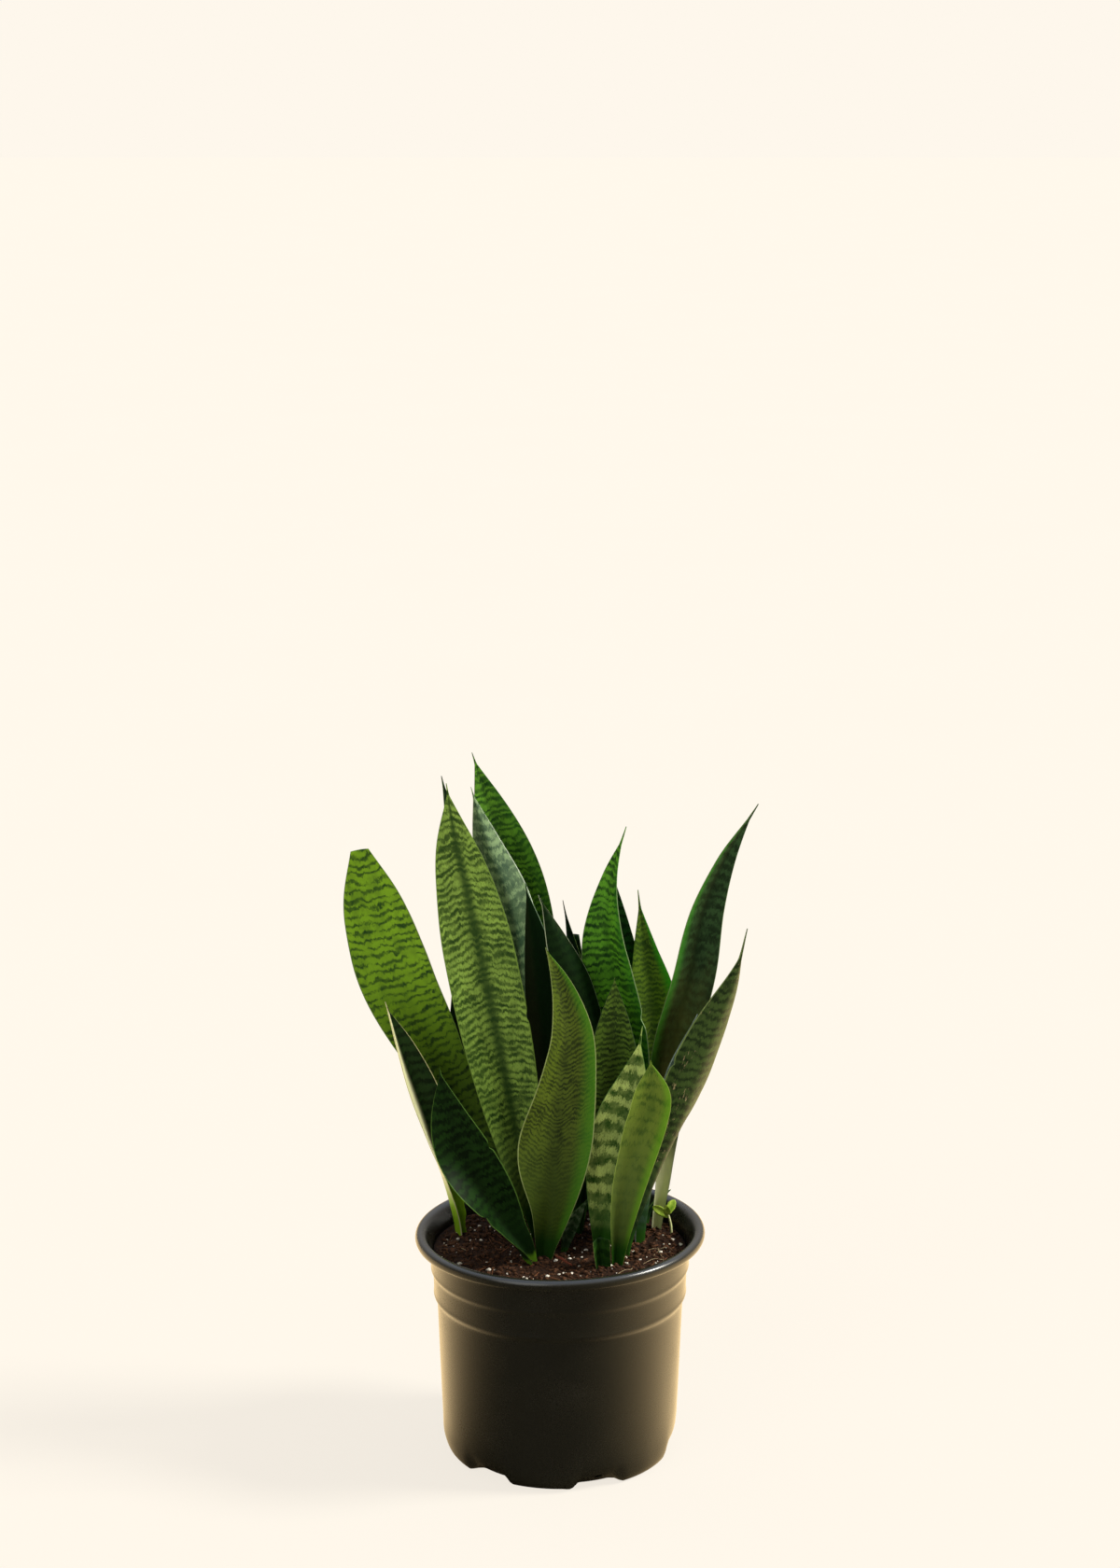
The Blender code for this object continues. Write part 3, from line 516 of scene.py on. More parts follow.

# %% [markdown]
# ## How each leaf looks
# Old leaves in good light are bright and boldly banded, and young ones carry pale
# grey-green bands. The inner ones stand in shade, and their almost black-green is
# partly that shade, painted into their colours.
# Each entry gives a ground colour, a band colour, and the inputs that differ;
# colours here are screen values.

# %% Leaf looks
LOOKS = {
    # Its near-black Low colour, reaching far up, is the painted shadow of leaf_centre_tall.
    "leaf_left_broad_cut": dict(
        ground=(122, 168, 30), band=(36, 70, 24), Spacing=0.62, Wander=0.8, Fray=0.45,
        Cover=0.45, Slant=0.15, Softness=0.9, Stripe=0.05, Mottle=0.25, Low=(14, 30, 8),
        Low_reach=0.78, Margin=(96, 128, 52)),
    "leaf_left_narrow": dict(
        ground=(34, 62, 26), band=DEEP, Spacing=0.8, Low=(26, 52, 20),
        Foot=(150, 196, 40), Foot_reach=0.3, Margin=CREAM, Glow=(236, 236, 190),
        Glow_left=1.0, Glow_from=-0.1, Mottle=0.3),
    "leaf_left_dark_needle": dict(ground=(30, 58, 30), band=DEEP, Margin=(150, 170, 130)),
    # Its dark colours are partly painted shade: the shadow of leaf_front_centre_twisted.
    "leaf_front_left_dark": dict(
        ground=(26, 54, 16), band=(10, 24, 8), shine=0.05, Spacing=0.7, Cover=0.1, Fray=0.8,
        Mottle=0.5, Low=(30, 56, 24), Foot=(110, 160, 40), Foot_reach=0.05,
        Margin=(84, 120, 50)),
    "leaf_centre_tall": dict(
        ground=(148, 184, 80), band=(40, 70, 24), Spacing=0.55, Wander=0.8, Fray=0.4,
        Cover=0.0, Softness=1.5, Stripe=0.85, Mottle=0.9, Slant=-0.2, Low=(86, 112, 52), Low_reach=0.3,
        Margin=(110, 140, 60)),
    "leaf_centre_tall_hidden": dict(ground=(44, 78, 36), band=DEEP),
    "leaf_front_centre_twisted": dict(
        ground=(84, 102, 30), band=(34, 46, 16), Spacing=0.34, Wander=0.7, Fray=0.3,
        Slant=0.6, Cover=0.1, Softness=1.2, Stripe=0.35, Mottle=0.35, Low=(64, 84, 28),
        Low_reach=0.5, Foot=(34, 70, 18), Foot_reach=0.12, Glow=(74, 146, 26),
        Glow_right=0.55, Margin=(140, 156, 96)),
    "leaf_back_tallest": dict(
        ground=(104, 164, 46), band=(26, 66, 20), Spacing=0.5, Wander=0.8, Fray=0.5,
        Cover=0.0, Softness=1.1, Mottle=0.6, Glow_right=0.3, Glow=(60, 130, 40)),
    # Its whitish margin is partly a painted glint along the edge.
    "leaf_back_silver": dict(
        ground=(126, 156, 110), band=(40, 74, 50), Spacing=0.8, Wander=1.0, Fray=0.7,
        shine=0.45, Cover=-0.2, Softness=1.4, Mottle=0.9, Stripe=0.0, Margin=(190, 204, 186),
        Low=(30, 52, 32), Low_reach=0.6),
    # The near-black grounds of the three inner leaves below are partly painted shade.
    "leaf_centre_dark": dict(ground=(14, 34, 14), band=DEEP, shine=0.02, Stripe=0.0,
                             Margin=(110, 136, 110), Mottle=0.2),
    "leaf_centre_dark_inner": dict(ground=(20, 42, 22), band=DEEP),
    "leaf_centre_dark_leaning": dict(ground=(22, 44, 18), band=DEEP, shine=0.05, Stripe=0.0,
                                     Mottle=0.2, Margin=(176, 190, 160)),
    "leaf_back_needle": dict(ground=(30, 56, 34), band=DEEP),
    "leaf_back_cut": dict(ground=(26, 60, 24), band=DEEP),
    "leaf_mid_right_tall": dict(
        ground=(96, 166, 40), band=(20, 60, 18), Spacing=0.55, Wander=0.8, Fray=0.45,
        Cover=0.1, Softness=1.0, Mottle=0.4, Margin=(130, 160, 110), Glow_right=0.5,
        Glow=(40, 120, 30), Low=(18, 40, 18), Low_reach=0.5),
    "leaf_mid_right_behind": dict(ground=(36, 84, 34), band=(16, 40, 18)),
    "leaf_mid_right_short": dict(
        ground=(92, 124, 30), band=(36, 66, 16), Spacing=0.4, Fray=0.4, Softness=1.6,
        Glow=(50, 150, 20), Glow_right=0.9, Mottle=0.3, Low=(20, 40, 16)),
    "leaf_right_tall": dict(
        ground=(52, 84, 46), band=(24, 44, 20), Spacing=0.8, Fray=0.9, Softness=1.6, Stripe=0.7,
        Mottle=0.6, Low=(110, 112, 52), Low_reach=0.72, Foot=(240, 246, 200),
        Foot_reach=0.28, Margin=(110, 132, 84), Glow=(50, 140, 24), Glow_left=0.5),
    "leaf_right_low": dict(
        ground=(66, 90, 40), band=(20, 38, 14), Spacing=0.7, Softness=1.6, Mottle=0.6,
        Worn=0.9, Low=(22, 44, 20), Margin=(120, 140, 84), Glow=(112, 124, 70),
        Glow_left=0.4),
    "leaf_right_sliver": dict(ground=(84, 104, 100), band=(40, 60, 50),
                              Margin=(150, 170, 160)),
    "leaf_mid_short_dark": dict(
        ground=(96, 128, 44), band=(28, 50, 16), Spacing=0.42, Wander=0.7, Fray=0.4,
        Softness=1.3, Mottle=0.4, Low=(16, 32, 14), Low_reach=0.55,
        Margin=(90, 116, 70)),
    "leaf_front_banded": dict(
        ground=(200, 222, 128), band=(36, 78, 14), Spacing=1.3, Wander=0.8, Fray=0.9,
        Cover=-0.3, Softness=1.0, Mottle=0.55, Stripe=0.25, Low=(70, 112, 50),
        Low_reach=0.3, Foot=(44, 92, 22), Foot_reach=0.18, Margin=(100, 140, 70)),
    "leaf_front_bright_tip": dict(
        ground=(108, 130, 44), band=(40, 74, 16), Spacing=0.9, Wander=0.8, Fray=0.9,
        Cover=0.9, Softness=2.4, Stripe=0.2, Mottle=0.35, Low=(88, 108, 50), Low_reach=0.8,
        Foot=(40, 88, 20), Foot_reach=0.16, Glow=(110, 176, 24), Glow_right=0.55,
        Margin=(150, 176, 80)),
    "leaf_front_edge_on": dict(ground=(72, 92, 34), band=(34, 58, 20),
                               Margin=(110, 124, 60)),
    "pup_leaf_mottled": dict(
        ground=(120, 142, 112), band=(44, 80, 40), Spacing=0.6, Mottle=0.9,
        Softness=1.6, Foot=(60, 110, 40)),
    "pup_leaf_back_right": dict(ground=(30, 50, 28), band=DEEP),
    "leaf_stub_cut": dict(ground=(52, 92, 28), band=(24, 52, 16), Spacing=0.9,
                          Low=(24, 56, 16), Low_reach=0.5, Margin=(150, 150, 96)),
}
print(len(LOOKS), "leaf looks")

# %% [markdown]
# ## Damage at the margins
# Real leaves are nicked, chewed or torn. A bite is a place where one margin stops
# short: how far up the leaf, which side, how deep a share of the half width, and
# over what share of the leaf's length.

# %% Bites
BITES = {
    "leaf_right_low": ((0.42, -1, 0.5, 0.05), (0.36, -1, 0.42, 0.03), (0.31, -1, 0.4, 0.03),
                       (0.62, 1, 0.1, 0.01)),
    "leaf_left_narrow": ((0.03, 1, 0.35, 0.05), (0.11, 1, 0.3, 0.03)),
    "leaf_front_left_dark": ((0.33, -1, 0.22, 0.02), (0.62, 1, 0.12, 0.012)),
    "leaf_centre_tall": ((0.5, 1, 0.06, 0.01),),
    "leaf_mid_right_tall": ((0.55, 1, 0.12, 0.015),),
}


def margin_share(name, share, side):
    """What is left of a leaf's half width at one margin, from 0 to 1."""
    left = 1.0
    for place, bitten, depth, reach in BITES.get(name, ()):
        if bitten == side:
            left -= depth * math.exp(-((share - place) / reach) ** 2)
    return left


# %% [markdown]
# ## Skinning a leaf
# Each section has a front row and a back row of points, joined round both margins.
# The blade is thick and fleshy near its foot and thin at the tip. The margins swell
# and sink a little on the way up, which is what keeps the blade from looking pressed.
# Two UV maps go with it: one in centimetres for the bands, one in shares of the leaf.

# %% Build a leaf
BURIED = 22 * MM
FOOT_LEAN = 0.3
BASE_THICKNESS, MIDDLE_THICKNESS, TIP_THICKNESS = 4.4 * MM, 2.4 * MM, 1.5 * MM
CREASE = 0.3
COLUMNS = 18
STEP = 2.6 * MM


def leaf_sections(leaf, number):
    """Rows of points for one leaf, with the place of each in centimetres and shares."""
    points = [Vector(point) * MM for point in leaf.midrib]
    lean = (points[1] - points[0]).normalized()
    points.insert(0, points[0] - Vector((lean.x * FOOT_LEAN, lean.y * FOOT_LEAN, 1)) * BURIED)
    lengths = [-BURIED]
    for before, after in zip(points, points[1:]):
        lengths.append(lengths[-1] + (after - before).length)
    lengths = [length - lengths[1] for length in lengths]
    top = lengths[-1]
    body = top - leaf.spine * MM
    even = [i / (len(leaf.faces) - 1) for i in range(len(leaf.faces))]
    rows = max(14, int(body / STEP))
    stations = [lengths[0], lengths[0] / 2] + [body * row / rows for row in range(rows + 1)]
    if leaf.spine:
        stations += [body + (top - body) * part for part in (0.25, 0.5, 0.75, 1)]
    for length in stations:
        share = min(max(length / body, 0), 1)
        needle = min(max((length - body) / max(top - body, MM), 0), 1)
        centre = smooth_line(lengths, points, length)
        ahead = smooth_line(lengths, points, min(length + MM, top))
        behind = smooth_line(lengths, points, max(length - MM, lengths[0]))
        along = (ahead - behind).normalized()
        bearing = math.radians(smooth_line(even, leaf.faces, share))
        face = Vector((math.sin(bearing), -math.cos(bearing), 0))
        face = (face - along * face.dot(along)).normalized()
        across = along.cross(face)
        fold = math.radians(smooth_line(even, leaf.folds, share))
        half = smooth_line(WIDTH_SHARES, leaf.widths, share) * MM / 2
        middle = BASE_THICKNESS + (MIDDLE_THICKNESS - BASE_THICKNESS) * ramp(share, -0.1, 0.35)
        middle += (TIP_THICKNESS - MIDDLE_THICKNESS) * ramp(share, 0.6, 1)
        margin = 0.5 * MM
        if needle:
            half += (0.25 * MM - half) * needle**0.6
            middle = margin = (1.3 - 0.8 * needle) * MM
        front, back = [], []
        for column in range(COLUMNS + 1):
            u = math.sin((column / COLUMNS - 0.5) * math.pi)
            reach = margin_share(leaf.name, share, 1 if u > 0 else -1)
            v = u if abs(u) < reach else math.copysign(reach, u)
            bend = (math.hypot(v, CREASE) - CREASE) / (math.hypot(1, CREASE) - CREASE)
            wave = 0.055 * noise.noise(Vector((number * 7.3 + (3 if u > 0 else 0),
                                               length / (26 * MM), 0.5)))
            wave *= abs(v) ** 2 * ramp(share, 0.05, 0.3) * (1 - needle)
            spot = centre + across * (half * v * math.cos(fold))
            spot += face * (half * (bend * math.sin(fold) + wave))
            deep = (margin + (middle - margin) * max(1 - v * v, 0) ** 0.6) / 2
            front.append((spot + face * deep, u, half * u * 100, length * 100, share))
            back.append((spot - face * deep, u, half * u * 100, length * 100, share))
        yield front + back


def build_leaf(leaf, number, material):
    """The fine mesh of one leaf."""
    rows = list(leaf_sections(leaf, number))
    size = len(rows[0])
    wide = size // 2
    loop = list(range(wide)) + list(range(size - 1, wide - 1, -1))
    faces = []
    for row in range(len(rows) - 1):
        low, high = row * size, (row + 1) * size
        for here, after in zip(loop, loop[1:] + loop[:1]):
            faces.append((low + here, low + after, high + after, high + here))
    for row, flip in ((0, True), (len(rows) - 1, False)):
        for column in range(wide - 1):
            at = row * size + column
            quad = (at, at + 1, at + 1 + wide, at + wide)
            faces.append(quad[::-1] if flip else quad)
    flat = [entry for row in rows for entry in row]
    obj = mesh_piece("fine_" + leaf.name, [entry[0] for entry in flat], faces, material)
    mesh = obj.data
    corner = np.empty(len(mesh.loops), dtype=np.int32)
    mesh.loops.foreach_get("vertex_index", corner)
    table = np.array([(entry[2], entry[3], entry[1] * 0.5 + 0.5, entry[4]) for entry in flat])
    for title, columns in (("size_cm", (0, 1)), ("share", (2, 3))):
        layer = mesh.uv_layers.new(name=title)
        layer.data.foreach_set("uv", table[corner][:, columns].astype(np.float32).ravel())
    turn_outward(obj)
    return obj


DARK_SLOT = ("leaf_left_dark_needle", "leaf_front_left_dark", "leaf_centre_dark",
             "leaf_centre_dark_inner", "leaf_centre_dark_leaning", "leaf_back_needle",
             "leaf_right_low", "leaf_right_sliver", "leaf_mid_short_dark",
             "pup_leaf_back_right", "leaf_left_narrow")
PALE_SLOT = ("leaf_front_banded", "leaf_front_bright_tip", "pup_leaf_mottled")
for number, leaf in enumerate(LEAVES):
    look = dict(LOOKS[leaf.name])
    finish = leaf_material("finish_" + leaf.name, look.pop("ground"), look.pop("band"),
                           Seed=number * 3.7, **look)
    fine_leaf = build_leaf(leaf, number, finish)
    slot = "leaf_dark_green" if leaf.name in DARK_SLOT else "leaf_green"
    slot = "leaf_pale_green" if leaf.name in PALE_SLOT else slot
    keep(fine_leaf, slot, leaf.name)
print("built", len(LEAVES), "leaves")

# %% [markdown]
# ## The nursery pot
# Such a pot is blown from a tube of soft polyethylene inside a two-part mould, so its
# wall is thin and even. The lip is rolled outward and down to stiffen it, two shallow
# beads ring the wall, and the bottom corner is notched between six feet, where the
# drain holes are. A lathed section gives the wall; the feet are then pushed into it.

# %% Pot measures
POT_SECTION = (
    (0, 1.8), (64, 1.8), (74, 2.2), (79.4, 6), (81.7, 14), (83.6, 60), (85.7, 113.4),
    (87.6, 117.6), (88.3, 133.2), (89.5, 136.6), (90.2, 152), (92.4, 157.6), (94.8, 162.6),
    (98.2, 164.5), (101.2, 163.4), (102.5, 160.4), (101.6, 157.4), (99.8, 156.2),
    (99.0, 157.4), (100.4, 158.6), (101.1, 160.4), (100.2, 162.2), (98.2, 163.1),
    (95.8, 161.6), (93.7, 156.8), (91.5, 151.4), (91.0, 139.4), (91.4, 137.2),
    (90.4, 135.0), (89.6, 133.0), (89.2, 120.0), (89.7, 118.0), (88.6, 115.4),
    (87.0, 113.0), (84.9, 60), (83.0, 14), (81.2, 5.4), (78, 0.9), (75, 0), (66, 0), (0, 0),
)
TURNS = 216
FEET = 6
FOOT_TURN = math.radians(-10)
GAP_HALF_TURN = math.radians(8)
GAP_RAMP = math.radians(7)
GAP_LIFT, GAP_INSET, GAP_REACH = 6.0 * MM, 1.6 * MM, 24 * MM
DISC_RADIUS = 66 * MM
DRAIN_RADIUS = 2.8 * MM
DRAIN_PLACE = (77.2 * MM, 8.4 * MM)
RIM_TILT = math.radians(0.9)


def rounded_section(section, step=1.6):
    """The section with its corners eased and points no farther apart than a step."""
    line = [Vector((radius, height, 0)) for radius, height in section]
    for _ in range(2):
        eased = [line[0]]
        for before, after in zip(line, line[1:]):
            gap = (after - before).length
            cut = 0.25 if gap < 8 else 2 / gap
            eased += [before.lerp(after, cut), before.lerp(after, 1 - cut)]
        line = [eased[0]] + eased[2:-2] + [eased[-1]]
    fine = [line[0]]
    for before, after in zip(line, line[1:]):
        parts = max(1, int((after - before).length / (step * 4)))
        fine += [before.lerp(after, (part + 1) / parts) for part in range(parts)]
    return fine


def gap_share(angle):
    """How fully a bearing lies in a gap between two feet."""
    period = 2 * math.pi / FEET
    from_gap = (angle + math.pi / 2 - FOOT_TURN - period / 2) % period
    from_gap = min(from_gap, period - from_gap)
    return 1 - ramp(from_gap, GAP_HALF_TURN, GAP_HALF_TURN + GAP_RAMP)


def arch(angle, height):
    """The faint arched panel on the wall above the front foot, from 0 to 1."""
    across = (angle + math.pi / 2 - math.radians(-13)) * 83 * MM / (23 * MM)
    up = height / (30 * MM)
    inside = 1 - across * across - up * up
    return ramp(inside, -0.06, 0.06)


def shape_pot(x, y, z):
    """Lifts the bottom corner between the feet, sets the rim askew, and dents the wall."""
    radius = math.hypot(x, y)
    angle = math.atan2(y, x)
    share = gap_share(angle) * (1 - ramp(z, 0, GAP_REACH)) * ramp(radius, DISC_RADIUS, 76 * MM)
    grow = -share * GAP_INSET
    if radius > 70 * MM:
        wall = ramp(z, 4 * MM, 20 * MM) * (1 - ramp(z, 140 * MM, 154 * MM))
        dent = noise.noise(Vector((math.cos(angle) * 1.6, math.sin(angle) * 1.6, z * 14)))
        grow += dent * 0.45 * MM * wall
        crease = noise.noise(Vector((math.cos(angle) * 4, math.sin(angle) * 4, z * 60)))
        grow += crease * 0.5 * MM * (1 - ramp(z, 18 * MM, 40 * MM)) * ramp(z, 2 * MM, 8 * MM)
        grow -= arch(angle, z) * 0.5 * MM
    scale = 1 + grow / max(radius, DISC_RADIUS)
    tilt = ramp(z, 100 * MM, 150 * MM) * math.tan(RIM_TILT)
    return (x * scale, y * scale, z + share * GAP_LIFT + x * tilt)


# %% [markdown]
# ## The pot's plastic
# Recycled black polyethylene is not jet black: it is a warm charcoal, with a satin
# skin that carries flow marks, dust and fine scuffs. The scuffs change the roughness
# more than the colour, so they show only where the wall catches the light.

# %% Pot material
def pot_plastic():
    """Satin black plastic with flow marks, dust and scuffs."""
    material, tree, shader = new_material("pot_plastic")
    place = add(tree, "ShaderNodeTexCoord").outputs["Object"]
    flow = grain(tree, add(tree, "ShaderNodeMapping", {0: place, 3: (1, 1, 0.15)}).outputs[0],
                 60.0, 4.0)
    fine = grain(tree, place, 900.0, 3.0, 0.7)
    blotch = grain(tree, place, 22.0, 3.0)
    dust = remap(tree, calc(tree, "ADD", calc(tree, "MULTIPLY", fine, 0.6),
                            calc(tree, "MULTIPLY", blotch, 0.5)), 0.6, 0.8)
    colour = blend(tree, calc(tree, "MULTIPLY", blotch, 0.6), paint(24, 24, 18),
                   paint(36, 33, 23))
    colour = blend(tree, calc(tree, "MULTIPLY", dust, 0.04), colour, paint(120, 108, 84))
    tree.links.new(colour, shader.inputs["Base Color"])
    rough = calc(tree, "ADD", 0.2, calc(tree, "MULTIPLY", flow, 0.12))
    rough = calc(tree, "ADD", rough, calc(tree, "MULTIPLY", dust, 0.2))
    tree.links.new(rough, shader.inputs["Roughness"])
    shader.inputs["Specular IOR Level"].default_value = 0.5
    height = calc(tree, "ADD", calc(tree, "MULTIPLY", flow, 0.6),
                  calc(tree, "MULTIPLY", fine, 0.25))
    bump = add(tree, "ShaderNodeBump", {"Height": height, "Strength": 0.05,
                                        "Distance": 0.0006})
    tree.links.new(bump.outputs[0], shader.inputs["Normal"])
    return material


# %% [markdown]
# ## Turning the pot
# The section is turned about Z as a closed grid of quads. Its two ends lie on the
# axis, so each closes with a fan. The drain holes are cut afterwards with a Boolean.

# %% Build the pot
def lathe(name, section, turns, shaper, material):
    """A closed turned body whose section, in millimetres, starts and ends on the axis."""
    inner = section[1:-1]
    points = [shaper(0, 0, section[0].y * MM), shaper(0, 0, section[-1].y * MM)]
    for spot in inner:
        for turn in range(turns):
            angle = 2 * math.pi * turn / turns
            points.append(shaper(spot.x * MM * math.cos(angle), spot.x * MM * math.sin(angle),
                                 spot.y * MM))
    faces = []
    for row in range(len(inner) - 1):
        for turn in range(turns):
            here, after = turn, (turn + 1) % turns
            low, high = 2 + row * turns, 2 + (row + 1) * turns
            faces.append((low + here, high + here, high + after, low + after))
    last = 2 + (len(inner) - 1) * turns
    for turn in range(turns):
        after = (turn + 1) % turns
        faces.append((0, 2 + turn, 2 + after))
        faces.append((1, last + after, last + turn))
    obj = mesh_piece(name, points, faces, material)
    turn_outward(obj)
    return obj


def drill(obj):
    """Cuts the drain holes, one in each gap, and applies the cuts."""
    for number in range(FEET):
        bearing = -math.pi / 2 + FOOT_TURN + (number + 0.5) * 2 * math.pi / FEET
        drain = bmesh.new()
        bmesh.ops.create_cone(drain, cap_ends=True, segments=32, radius1=DRAIN_RADIUS,
                              radius2=DRAIN_RADIUS, depth=9 * MM)
        mesh = bpy.data.meshes.new("drain")
        drain.to_mesh(mesh)
        drain.free()
        hole = bpy.data.objects.new("drain", mesh)
        bpy.context.scene.collection.objects.link(hole)
        hole.location = (DRAIN_PLACE[0] * math.cos(bearing),
                         DRAIN_PLACE[0] * math.sin(bearing), DRAIN_PLACE[1])
        hole.rotation_euler = (0, math.radians(130), bearing)
        cut = obj.modifiers.new("drain", "BOOLEAN")
        cut.operation, cut.solver, cut.object = "DIFFERENCE", "EXACT", hole
        graph = bpy.context.evaluated_depsgraph_get()
        obj.data = bpy.data.meshes.new_from_object(obj.evaluated_get(graph))
        obj.modifiers.clear()
        bpy.data.objects.remove(hole)


pot = lathe("fine_pot", rounded_section(POT_SECTION), TURNS, shape_pot, pot_plastic())
drill(pot)
keep(pot, "pot_black", "nursery_pot")
print("pot has", len(pot.data.polygons), "faces")

# %% [markdown]
# ## The potting mix
# The mix is crumbled peat and composted bark, dark brown when moist, opened up with
# perlite: volcanic glass puffed into light white grains. Its surface is rough at
# every scale, so the lathed body gets noise of several sizes, and then crumbs,
# grains, bark slivers and fine roots are laid on it.

# %% Mix body
MIX_SECTION = (
    (0, 150), (22, 150), (42, 150), (60, 150), (76, 150), (89.4, 148.6), (88.9, 138),
    (87.0, 131), (85.0, 112), (81.4, 24), (78, 16), (0, 16),
)
MIX_LEVEL = 150 * MM
BUMP_HEIGHT, BUMP_SPACING = 2.4 * MM, 26 * MM


def mix_height(x, y):
    """How far the surface stands above or below its level."""
    mound = 2.0 * MM * math.exp(-((x + 30 * MM) ** 2 + (y + 22 * MM) ** 2) / (18 * MM) ** 2)
    mound += 5.0 * MM * math.exp(-((x + 25 * MM) ** 2 + (y + 12 * MM) ** 2) / (11 * MM) ** 2)
    bump = noise.noise(Vector((x / BUMP_SPACING, y / BUMP_SPACING, 4.2)))
    return BUMP_HEIGHT * bump + mound


def crumble(x, y):
    """The small relief of the surface."""
    total = 0
    for size, depth in ((9, 0.9), (4, 0.8), (1.8, 0.5)):
        total += depth * noise.noise(Vector((x / (size * MM), y / (size * MM), size)))
    return total * MM


def shape_mix(x, y, z):
    """Roughens the top of the mix."""
    if z > MIX_LEVEL - 1 * MM:
        fade = 1 - ramp(math.hypot(x, y), 84 * MM, 89 * MM)
        z += mix_height(x, y) + crumble(x, y) * (0.35 + 0.65 * fade)
    return (x, y, z)


def fine_mix_section():
    """The mix's section with close points over its surface."""
    top = [Vector((radius * 0.9, 150, 0)) for radius in range(0, 98)]
    rest = [Vector((radius, height, 0)) for radius, height in MIX_SECTION]
    return top + [spot for spot in rest if spot.x > 88 or spot.y < 149]


# %% [markdown]
# ## Finishes for peat, perlite, bark and roots
# Peat is warm brown on its crumbs, and its hollows are painted nearly black, as shade,
# so the colour follows the same noise as the relief. One group gives any of these
# crumbly things a two-tone colour and relief, each with its own scale; the darker tone,
# in the low places of the relief, is partly painted shade.

# %% Crumb group and its materials
def make_crumb_group():
    """Two-tone crumbly colour and relief; the darker tone in the hollows is partly painted shade."""
    group, given, out = new_group(
        "Crumbly", [("Dark", "colour", None), ("Light", "colour", None),
                    ("Scale", "value", 300.0), ("Contrast", "value", 0.2)],
        [("Colour", "colour"), ("Relief", "value")])
    place = add(group, "ShaderNodeTexCoord").outputs["Object"]
    coarse = grain(group, place, given["Scale"], 6.0, 0.65)
    fine = grain(group, place, calc(group, "MULTIPLY", given["Scale"], 4.0), 4.0, 0.7)
    both = calc(group, "ADD", calc(group, "MULTIPLY", coarse, 0.6),
                calc(group, "MULTIPLY", fine, 0.4))
    low = calc(group, "SUBTRACT", 0.5, given["Contrast"])
    high = calc(group, "ADD", 0.5, given["Contrast"])
    # Low places of the relief take the Dark tone: partly painted shade in the hollows.
    share = remap(group, both, low, high)
    group.links.new(blend(group, share, given["Dark"], given["Light"]), out.inputs["Colour"])
    group.links.new(both, out.inputs["Relief"])
    return group


CRUMBLY = make_crumb_group()


def crumbly(name, dark, light, scale, rough, relief=0.6, contrast=0.2):
    """A material made with the crumb group."""
    material, tree, shader = new_material(name)
    group = tree.nodes.new("ShaderNodeGroup")
    group.node_tree = CRUMBLY
    group.inputs["Dark"].default_value = dark
    group.inputs["Light"].default_value = light
    group.inputs["Scale"].default_value = scale
    group.inputs["Contrast"].default_value = contrast
    bump = add(tree, "ShaderNodeBump", {"Height": group.outputs["Relief"], "Strength": relief,
                                        "Distance": 0.001})
    tree.links.new(group.outputs["Colour"], shader.inputs["Base Color"])
    tree.links.new(bump.outputs[0], shader.inputs["Normal"])
    shader.inputs["Roughness"].default_value = rough
    shader.inputs["Specular IOR Level"].default_value = 0.12
    return material


PEAT = crumbly("peat", paint(10, 6, 4), paint(62, 40, 27), 420.0, 0.92, 0.9, 0.14)
CRUMB = crumbly("peat_crumbs", paint(20, 12, 8), paint(98, 66, 46), 500.0, 0.9, 0.6, 0.14)
PERLITE = crumbly("perlite", paint(200, 192, 176), paint(248, 244, 234), 900.0, 0.75, 0.4)
BARK = crumbly("bark_slivers", paint(60, 34, 22), paint(132, 88, 60), 700.0, 0.85)
TWIG_BARK = crumbly("twig_bark", paint(74, 32, 22), paint(150, 82, 62), 800.0, 0.7)
ROOT = crumbly("fine_roots", paint(150, 126, 92), paint(214, 196, 160), 600.0, 0.7)
RHIZOME = crumbly("rhizome_skin", paint(150, 116, 66), paint(206, 178, 122), 260.0, 0.6)
SEEDLING = crumbly("seedling_tissue", paint(104, 150, 30), paint(196, 216, 90), 220.0, 0.45,
                   0.15)

mix = lathe("fine_mix", fine_mix_section(), 288, shape_mix, PEAT)
keep(mix, "mix_brown", "potting_mix")
print("mix has", len(mix.data.polygons), "faces")

# %% [markdown]
# ## Crumbs, perlite and bark
# Each grain is a small icosphere pulled out of shape, scattered over the surface and
# sunk part of the way in. All the grains of a kind are one mesh, which stays light.
# A fixed seed keeps every run the same.

